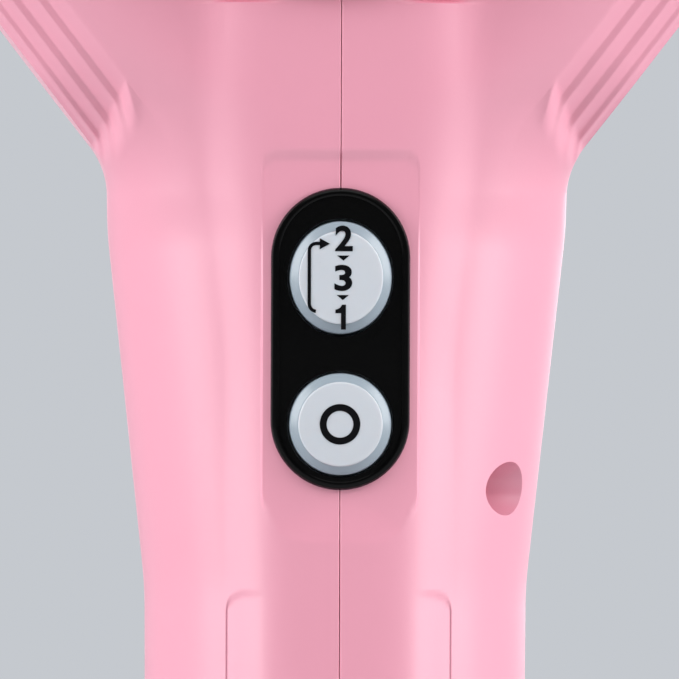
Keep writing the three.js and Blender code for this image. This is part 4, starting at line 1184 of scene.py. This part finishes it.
class NodeGraph:
    """A geometry node group that is laid down step by step and run once into a plain mesh."""

    def __init__(self, name: str) -> None:
        """Starts an empty group called name."""
        self.tree = bpy.data.node_groups.new(name, "GeometryNodeTree")
        self.tree.interface.new_socket("Geometry", in_out="OUTPUT", socket_type="NodeSocketGeometry")
        self.sockets: dict[str, str] = {}
        self.entry = self.tree.nodes.new("NodeGroupInput")

    def input(self, name: str, kind: str) -> bpy.types.NodeSocket:
        """Adds a named input of a socket kind and returns its socket."""
        made = self.tree.interface.new_socket(name, in_out="INPUT", socket_type=kind)
        self.sockets[name] = made.identifier
        return self.entry.outputs[name]

    def node(self, kind: str, links: dict | None = None, **values) -> bpy.types.Node:
        """Adds a node.

        Args:
            kind: the node's type.
            links: sockets or plain values by input name.
            values: properties of the node.

        Returns:
            The node.
        """
        made = self.tree.nodes.new(kind)
        for key, value in values.items():
            setattr(made, key, value)
        for key, value in (links or {}).items():
            target = made.inputs[key]
            if isinstance(value, bpy.types.NodeSocket):
                self.tree.links.new(value, target)
            else:
                target.default_value = value
        return made

    def finish(self, geometry: bpy.types.NodeSocket, material: bpy.types.NodeSocket) -> None:
        """Ends the group: real geometry, with its material."""
        real = self.node("GeometryNodeRealizeInstances", {"Geometry": geometry})
        links = {"Geometry": real.outputs[0], "Material": material}
        dressed = self.node("GeometryNodeSetMaterial", links)
        out = self.tree.nodes.new("NodeGroupOutput")
        self.tree.links.new(dressed.outputs[0], out.inputs[0])

    def run(self, name: str, values: dict) -> bpy.types.Mesh:
        """Runs the group with its inputs set and returns the plain mesh.

        Args:
            name: name of the mesh.
            values: what each named input gets.

        Returns:
            A mesh without modifiers.
        """
        holder = linked(name, bpy.data.meshes.new(name))
        modifier = holder.modifiers.new("nodes", "NODES")
        modifier.node_group = self.tree
        for key, value in values.items():
            modifier[self.sockets[key]] = value
        holder.update_tag()
        mesh = plain_mesh(holder)
        mesh.name = name
        bpy.data.objects.remove(holder)
        return mesh


class RadialArray(NodeGraph):
    """Copies of one object spaced evenly round the barrel axis, each turned to face outwards."""

    def __init__(self) -> None:
        """Lays down the group."""
        super().__init__("radial_array")
        piece = self.input("Piece", "NodeSocketObject")
        count = self.input("Count", "NodeSocketInt")
        centre = self.input("Centre", "NodeSocketVector")
        material = self.input("Material", "NodeSocketMaterial")
        info = self.node("GeometryNodeObjectInfo", {"Object": piece, "As Instance": True})
        points = self.node("GeometryNodePoints", {"Count": count, "Position": centre})
        index = self.node("GeometryNodeInputIndex")
        step = self.node("ShaderNodeMath", {0: math.tau, 1: count}, operation="DIVIDE")
        factors = {0: index.outputs[0], 1: step.outputs[0]}
        angle = self.node("ShaderNodeMath", factors, operation="MULTIPLY")
        spin = self.node("ShaderNodeCombineXYZ", {"Y": angle.outputs[0]})
        copies = self.node("GeometryNodeInstanceOnPoints", {
            "Points": points.outputs[0], "Instance": info.outputs["Geometry"],
            "Rotation": spin.outputs[0],
        })
        self.finish(copies.outputs[0], material)

    def around(self, name: str, piece: bpy.types.Object, count: int, height: float) -> bpy.types.Mesh:
        """Repeats a piece drafted about the origin.

        Args:
            name: name of the mesh.
            piece: what is repeated; it is deleted.
            count: how many copies there are.
            height: z of the axis, in millimetres.

        Returns:
            The plain mesh.
        """
        centre = (0.0, 0.0, height * MM)
        values = {"Piece": piece, "Count": count, "Centre": centre, "Material": STEEL.material()}
        mesh = self.run(name, values)
        bpy.data.objects.remove(piece)
        return mesh


class WoundCoil(NodeGraph):
    """A resistance wire wound round the barrel axis."""

    def __init__(self) -> None:
        """Lays down the group."""
        super().__init__("wound_coil")
        turns = self.input("Turns", "NodeSocketFloat")
        radius = self.input("Radius", "NodeSocketFloat")
        length = self.input("Length", "NodeSocketFloat")
        wire = self.input("Wire", "NodeSocketFloat")
        centre = self.input("Start", "NodeSocketVector")
        material = self.input("Material", "NodeSocketMaterial")
        spiral = self.node("GeometryNodeCurveSpiral", {
            "Resolution": 64, "Rotations": turns, "Start Radius": radius, "End Radius": radius,
            "Height": length,
        })
        section = self.node("GeometryNodeCurvePrimitiveCircle", {"Resolution": 12, "Radius": wire})
        tube = self.node("GeometryNodeCurveToMesh", {
            "Curve": spiral.outputs[0], "Profile Curve": section.outputs[0], "Fill Caps": True,
        })
        placed = self.node("GeometryNodeTransform", {
            "Geometry": tube.outputs[0], "Translation": centre, "Rotation": (-math.pi / 2, 0.0, 0.0),
        })
        shaded = self.node("GeometryNodeSetShadeSmooth", {"Geometry": placed.outputs[0]})
        self.finish(shaded.outputs[0], material)


def rounded_bar(low: Sequence[float], high: Sequence[float], soft: float) -> bpy.types.Object:
    """A bar with softened edges between two corners, in millimetres, as a bare object."""
    around = ((low[0], low[2]), (high[0], low[2]), (high[0], high[2]), (low[0], high[2]))
    flat = np.array(filleted([(x, z, soft) for x, z in around], 3))[::-1]
    return draft_object(*stacked([at_y(flat, y) for y in (low[1], high[1])]))


# ---- handle end --------------------------------------------------------------------------------------


@dataclass
class HandleEnd:
    """The cap at the handle's end and the bush that the cord enters through."""

    height: float = 6.0
    soft: float = 1.4
    gland_radius: float = 5.3
    bore: float = 3.4
    gap: float = 0.3

    def cap(self) -> None:
        """The cap, with the casing's own section and a softened lower edge."""
        casing = Casing()
        right = casing.surface(casing.outline(), 0.0)[0]
        keep = [0, *range(20, len(right) - 1, 2), len(right) - 1]
        right = right[keep][:, :2]
        right[0, 0] = right[-1, 0] = 0.0
        left = right[1:-1][::-1] * np.array([-1.0, 1.0])
        section = np.vstack([right, left])
        reach = np.abs(section).max()
        rings = []
        for t in np.linspace(0, math.pi / 2, 7):
            inset = self.soft * (1 - math.sin(t))
            rings.append((section * (1 - inset / reach), self.soft * (1 - math.cos(t))))
        rings.append((section, self.height - 0.12))
        rings.append((section * (1 - 0.12 / reach), self.height))
        stack = [np.c_[flat, np.full(len(flat), z)] for flat, z in rings]
        points, faces = stacked(stack)
        if signed_area(section) < 0:
            faces = [face[::-1] for face in faces]
        piece = make_piece("handle_cap", points, faces, PINK_TRIM)
        circle = unit_circle(96) * (self.gland_radius + self.gap)
        hole = [np.c_[circle, np.full(len(circle), z)] for z in (-5.0, 20.0)]
        cut(piece, [draft_object(*stacked(hole))])
        dress(piece, PINK_TRIM)
        settle(piece, "casing", "end_cap")

    def gland(self) -> None:
        """The rubber bush, with a rounded mouth."""
        seat = self.height + 3 + self.gap
        corners = [
            (self.bore, 0.5, 0.8), (self.gland_radius, 0.5, 0.5), (self.gland_radius, seat, 0.0),
            (self.gland_radius + 2, seat, 0.2), (self.gland_radius + 2, seat + 1.5, 0.3),
            (self.bore, seat + 1.5, 0.4),
        ]
        points, faces = lathe(filleted(corners), 0.0, 72)
        upright = points[:, [0, 2, 1]]
        faces = [face[::-1] for face in faces]
        settle(make_piece("cord_bush", upright, faces, RUBBER), "casing", "cord_gland")

    def build(self) -> None:
        """Makes the cap and the bush."""
        self.cap()
        self.gland()


# ---- air path ----------------------------------------------------------------------------------------


@dataclass
class AirIntake:
    """The slotted cover that pulls off the back of the head, its middle on the barrel axis."""

    radius: float = 26.6
    face_y: float = -23.8
    seat_y: float = -21.3
    skirt_radius: float = 24.5
    skirt_wall: float = 1.3
    skirt_end: float = -16.5
    slots: int = 14
    slot_start: float = 9.0
    slot_end: float = 22.0
    slot_half: float = 1.2

    def build(self, array: RadialArray) -> None:
        """Makes the cover.

        Args:
            array: the node group that spaces the slots.
        """
        inner = self.skirt_radius - self.skirt_wall
        corners = [
            (0.0, self.face_y + 0.5, 0.0), (6.5, self.face_y + 0.5, 0.6), (7.4, self.face_y, 0.5),
            (self.radius - 2.2, self.face_y, 1.2), (self.radius, self.face_y + 1.3, 0.7),
            (self.radius, self.seat_y, 0.2), (self.skirt_radius, self.seat_y, 0.0),
            (self.skirt_radius, self.skirt_end, 0.2), (inner, self.skirt_end, 0.2),
            (inner, self.seat_y, 0.4), (0.0, self.seat_y, 0.0),
        ]
        cover = make_piece("air_intake_cover", *lathe(filleted(corners), DATUM.head, 160), PINK_TRIM)
        tool = rounded_bar(
            (-self.slot_half, -30.0, self.slot_start), (self.slot_half, -19.0, self.slot_end), 1.15)
        cut(cover, [linked("slots", array.around("slots", tool, self.slots, DATUM.head))])
        dress(cover, PINK_TRIM)
        settle(cover, "rear_cover", "intake_cover")


@dataclass
class Barrel:
    """The pink barrel, the white ring at its front and the guard across the outlet."""

    front_y: float = 20.0
    opening: float = 35.3
    back_radius: float = 36.5
    shoulder_y: float = 45.0
    front_radius: float = 33.4
    end: float = 86.0
    gap: float = 0.3
    outlet: float = 29.5
    spigot: float = 31.4
    ring_length: float = 6.0
    spigot_length: float = 6.0
    bars: tuple[float, ...] = (-18.0, -9.0, 0.0, 9.0, 18.0)

    def tube(self) -> None:
        """The tapered barrel with its plug, with a fine bead at its back edge."""
        seat = self.front_y + self.gap
        plug = self.opening - 0.5
        shoulder = self.back_radius - 0.6
        corners = [
            (plug, self.front_y - 7, 0.4), (plug, seat, 0.0), (self.back_radius - 0.8, seat, 0.0),
            (self.back_radius, seat + 0.8, 0.5), (shoulder, self.shoulder_y, 30.0),
            (self.front_radius, self.end, 0.5), (self.front_radius - 2, self.end, 0.2),
            (shoulder - 2.2, self.shoulder_y, 0.0), (plug - 1.8, self.front_y - 7, 0.4),
        ]
        tube = make_piece("barrel_tube", *lathe(filleted(corners, 10), DATUM.head, 192), PINK)
        settle(tube, "casing", "barrel")

    def ring(self) -> None:
        """The white ring that carries the nozzle, with a groove round it."""
        back = self.end + self.gap
        front = back + self.ring_length
        plug = self.front_radius - 2 - self.gap
        rim = self.front_radius + 0.2
        corners = [
            (self.outlet, back - 4, 0.4), (plug, back - 4, 0.3), (plug, back, 0.0), (rim, back, 0.3),
            (rim, back + 1.2, 0.1), (rim - 0.35, back + 1.35, 0.1), (rim - 0.35, back + 1.75, 0.1),
            (rim, back + 1.9, 0.1), (rim, front - 0.7, 0.6), (rim - 0.5, front, 0.3),
            (self.spigot, front, 0.0), (self.spigot, front + self.spigot_length, 0.5),
            (self.outlet, front + self.spigot_length, 0.6),
        ]
        ring = make_piece("outlet_ring", *lathe(filleted(corners), DATUM.head, 192), RING_WHITE)
        settle(ring, "casing", "front_ring")

    def guard(self) -> None:
        """The guard: a hoop, five level bars and an upright, with softened edges."""
        outer = self.outlet - self.gap
        back = self.end + self.gap - 2.5
        inner, front = outer - 1.6, back + 2
        hoop = [(outer, back, 0.2), (outer, front, 0.3), (inner, front, 0.5), (inner, back, 0.3)]
        guard = make_piece("outlet_guard", *lathe(filleted(hoop), DATUM.head, 160), DARK_RESIN)
        reach = outer - 0.8
        bars = []
        for z in self.bars:
            half = math.sqrt(reach**2 - z**2)
            level = DATUM.head + z
            bars.append(rounded_bar((-half, back, level - 0.6), (half, front, level + 0.6), 0.25))
        low, high = DATUM.head - reach, DATUM.head + reach
        bars.append(rounded_bar((-0.6, back, low), (0.6, front, high), 0.25))
        cut(guard, bars, union=True)
        dress(guard, DARK_RESIN)
        settle(guard, "casing", "outlet_grille")

    def build(self) -> None:
        """Makes the barrel, its ring and its guard."""
        self.tube()
        self.ring()
        self.guard()


@dataclass
class Nozzle:
    """The pull-off nozzle: a grip ring and a flat spout that turns in it."""

    back: float = 92.6
    ring_front: float = 102.7
    radius: float = 33.4
    spigot: float = 31.4
    lip_back: float = 100.9
    throat: float = 29.6
    spout_back: float = 98.6
    mouth_y: float = 128.3
    mouth_width: float = 31.0
    mouth_height: float = 5.5
    wall: float = 1.6
    grips: int = 48
    sides: int = 144

    def grip_ring(self, array: RadialArray) -> None:
        """The ring, with fine grip flutes round it.

        Args:
            array: the node group that spaces the flutes.
        """
        lip = self.throat + 0.3
        corners = [
            (self.spigot + 0.3, self.back, 0.3), (self.radius, self.back, 0.5),
            (self.radius, self.ring_front, 0.6), (lip, self.ring_front, 0.4),
            (lip, self.lip_back, 0.0), (self.spigot + 0.3, self.lip_back, 0.2),
        ]
        ring = make_piece("nozzle_grip_ring", *lathe(filleted(corners), DATUM.head, 288), NOZZLE_BLACK)
        reach = self.radius
        tool = rounded_bar(
            (-0.45, self.back + 1.6, reach - 0.35), (0.45, self.ring_front - 1.8, reach + 2.0), 0.2)
        cut(ring, [linked("flutes", array.around("flutes", tool, self.grips, DATUM.head))])
        dress(ring, NOZZLE_BLACK)
        settle(ring, "nozzle_base", "nozzle_ring")

    def section(self, y: float, width: float, height: float) -> np.ndarray:
        """One rounded section of the spout about the barrel axis."""
        power = mix(0.5, 1.0, min(1.0, height / width))
        turn = np.linspace(0, 2 * math.pi, self.sides, endpoint=False)
        c, s = np.cos(turn), np.sin(turn)
        return np.c_[
            width * np.sign(c) * np.abs(c) ** power, np.full(self.sides, y),
            DATUM.head + height * np.sign(s) * np.abs(s) ** power,
        ]

    def spout(self) -> None:
        """The spout: a flange held behind the ring's lip, a round throat and a flat mouth."""
        start, wide = self.spout_back, self.radius - 0.6
        foot = self.ring_front + 0.3
        flange = self.spigot - 0.2
        outer, inner = [], []
        for t in np.linspace(0, 1, 22)[1:-1]:
            flat = float(smooth(0, 1.03, t))
            y = mix(foot, self.mouth_y, t)
            width, height = mix(wide, self.mouth_width, t), mix(wide, self.mouth_height, flat)
            outer.append(self.section(y, width, height))
            inner.append(self.section(y, width - self.wall, height - self.wall))
        lip = 0.3
        rings = [
            self.section(start, flange, flange), self.section(self.lip_back - 0.3, flange, flange),
            self.section(self.lip_back - 0.3, self.throat, self.throat),
            self.section(foot, self.throat, self.throat),
            self.section(foot, wide - 0.4, wide - 0.4), self.section(foot + 0.4, wide, wide),
            *outer,
            self.section(self.mouth_y - lip, self.mouth_width, self.mouth_height),
            self.section(self.mouth_y, self.mouth_width - lip, self.mouth_height - lip),
            self.section(self.mouth_y, self.mouth_width - 1.3, self.mouth_height - 0.95),
            self.section(self.mouth_y - lip, self.mouth_width - self.wall, self.mouth_height - 1.2),
            *inner[::-1],
            self.section(foot, self.throat - self.wall, self.throat - self.wall),
            self.section(start, self.throat - self.wall, self.throat - self.wall),
        ]
        points, faces = stacked([*rings, rings[0]], close_ends=False)
        faces = [face[::-1] for face in faces]
        spout = make_piece("nozzle_flat_spout", points, faces, NOZZLE_BLACK)
        settle(spout, "nozzle_tip", "nozzle_spout")

    def build(self, array: RadialArray) -> None:
        """Makes the ring and the spout.

        Args:
            array: the node group that spaces the flutes.
        """
        self.grip_ring(array)
        self.spout()


@dataclass
class HeaterCoils:
    """The two resistance coils wound round the mica boards."""

    back: float = 36.0
    length: float = 42.0
    radius: float = 25.0
    wire: float = 0.6
    turns: float = 3.0

    def build(self) -> None:
        """Winds both coils."""
        coil = WoundCoil()
        run = self.length / 2 - 4
        starts = {"back": self.back + 2, "front": self.back + self.length - 2 - run}
        for name, start in starts.items():
            place = DATUM.place(np.array([[0.0, start, DATUM.head]]))[0]
            mesh = coil.run(f"coil_{name}", {
                "Turns": self.turns, "Radius": self.radius * MM, "Length": run * MM,
                "Wire": self.wire * MM, "Start": tuple(float(v) for v in place),
                "Material": HEATER_WIRE.material(),
            })
            made = dress(linked(f"heater_wire_{name}", mesh), HEATER_WIRE, 60.0)
            settle(made, "casing", f"heater_coil_{name}")


# ---- inner pieces ------------------------------------------------------------------------------------


@dataclass
class PlainNodes:
    """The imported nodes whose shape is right: each keeps it and gets its finish."""

    own_finish: dict[str, Finish] = field(default_factory=lambda: {"lint_filter": LINT_MESH})

    def build(self) -> None:
        """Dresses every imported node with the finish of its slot."""
        for entry in frame["record"]["subparts"]:
            node = frame["nodes"][entry["node"]]
            finish = self.own_finish.get(entry["node"], SLOT_FINISHES[entry["material_slot"]])
            node.data.materials.clear()
            node.data.materials.append(finish.material())
            log.info("%s: %s", entry["node"], finish.name)


# ---- studio ------------------------------------------------------------------------------------------


@dataclass
class Studio:
    """Pale floor, soft lights and the camera close on the control panel."""

    distance: float = 2.0
    frame_width: float = 0.0653
    azimuth_deg: float = -1.25
    roll_deg: float = 0.2
    floor_radius: float = 2.5

    def floor(self) -> None:
        """A round pale floor under the handle's end."""
        circle = unit_circle(96) * self.floor_radius
        mesh = bpy.data.meshes.new("floor")
        mesh.from_pydata([(x, y, CAD_BOX[0].z) for x, y in circle.tolist()], [], [list(range(96))])
        made = linked("floor", mesh)
        finish = Finish("floor_pale", (0.50, 0.50, 0.51), 0.7, Grain.MATT, 2.0, 0.01)
        mesh.materials.append(finish.material())

    def softbox(self, name: str, place: Place, target: Place, size: Point2, power: float) -> None:
        """One rectangular soft light.

        Args:
            name: the light's name.
            place: where it stands, in metres.
            target: what it looks at.
            size: width and height.
            power: watts.
        """
        light = bpy.data.lights.new(name, "AREA")
        light.shape = "RECTANGLE"
        light.size, light.size_y = size
        light.energy = power
        made = linked(name, light)
        made.location = place
        aim = Vector(target) - Vector(place)
        made.rotation_euler = aim.to_track_quat("-Z", "Y").to_euler()
        made.visible_camera = False

    def lights(self) -> None:
        """Two side boxes, a top box and a weak fill from the nozzle's side."""
        y = DATUM.axis_y
        aim = (0.0, y, 0.12)
        self.softbox("left_box", (-0.9, y - 0.32, 0.5), aim, (0.5, 0.9), 8.4)
        self.softbox("right_box", (0.9, y - 0.32, 0.5), aim, (0.5, 0.9), 9.2)
        self.softbox("key_box", (0.0, y - 1.0, 1.0), aim, (1.0, 0.4), 2.6)
        self.softbox("top_box", (0.0, y + 0.2, 1.2), aim, (0.9, 0.7), 2.0)
        self.softbox("far_box", (0.3, y + 1.2, 0.4), aim, (0.9, 0.7), 4.0)

    def world(self) -> None:
        """Pale surroundings, brightest at the sides and dark behind the viewer."""
        world = bpy.data.worlds.new("pale_world")
        world.use_nodes = True
        tree = world.node_tree
        background = tree.nodes["Background"]
        background.inputs["Color"].default_value = (0.90, 0.94, 1.0, 1.0)
        facing = tree.nodes.new("ShaderNodeVectorMath")
        facing.operation = "DOT_PRODUCT"
        facing.inputs[1].default_value = (0.0, -1.0, 0.0)
        tree.links.new(tree.nodes.new("ShaderNodeTexCoord").outputs["Generated"], facing.inputs[0])
        ramp = tree.nodes.new("ShaderNodeValToRGB")
        stops = [(0.0, 0.62), (0.45, 0.85), (0.66, 0.75), (0.88, 0.04)]
        ramp.color_ramp.interpolation = "EASE"
        for at, level in stops[1:-1]:
            ramp.color_ramp.elements.new(at).color = (level, level, level, 1.0)
        ramp.color_ramp.elements[0].color = (stops[0][1],) * 3 + (1.0,)
        ramp.color_ramp.elements[-1].position = stops[-1][0]
        ramp.color_ramp.elements[-1].color = (stops[-1][1],) * 3 + (1.0,)
        share = tree.nodes.new("ShaderNodeMapRange")
        share.inputs["From Min"].default_value = -1.0
        tree.links.new(facing.outputs["Value"], share.inputs["Value"])
        tree.links.new(share.outputs["Result"], ramp.inputs["Fac"])
        tree.links.new(ramp.outputs["Color"], background.inputs["Strength"])
        bpy.context.scene.world = world

    def camera(self) -> None:
        """A long lens level with the panel, square to the thumb side but for a hair."""
        data = bpy.data.cameras.new("camera")
        data.sensor_width = 36.0
        data.lens = 36.0 * self.distance / self.frame_width
        data.clip_end = 50.0
        made = linked("camera", data)
        target = Vector((-0.0001, DATUM.axis_y - 0.0213, DATUM.panel * MM - 0.00005))
        turn = math.radians(self.azimuth_deg)
        back = Vector((math.sin(turn), -math.cos(turn), 0.0))
        made.location = target + back * self.distance
        look = (-back).to_track_quat("-Z", "Y").to_matrix().to_4x4()
        roll = Matrix.Rotation(math.radians(self.roll_deg), 4, "Z")
        made.matrix_world = Matrix.Translation(made.location) @ look @ roll
        bpy.context.scene.camera = made

    def build(self) -> None:
        """Sets the stage."""
        self.camera()
        self.floor()
        self.lights()
        self.world()
        view = bpy.context.scene.view_settings
        view.view_transform = "Standard"
        view.look = "None"


def main() -> None:
    """Builds the dryer and its studio, in order."""
    logging.basicConfig(level=logging.INFO, format="%(name)s %(message)s")
    Studio().build()
    PlainNodes().build()
    Casing().build()
    ControlPanel().build()
    HandleEnd().build()
    array = RadialArray()
    AirIntake().build(array)
    Barrel().build()
    Nozzle().build(array)
    HeaterCoils().build()


if __name__ == "__main__":
    main()
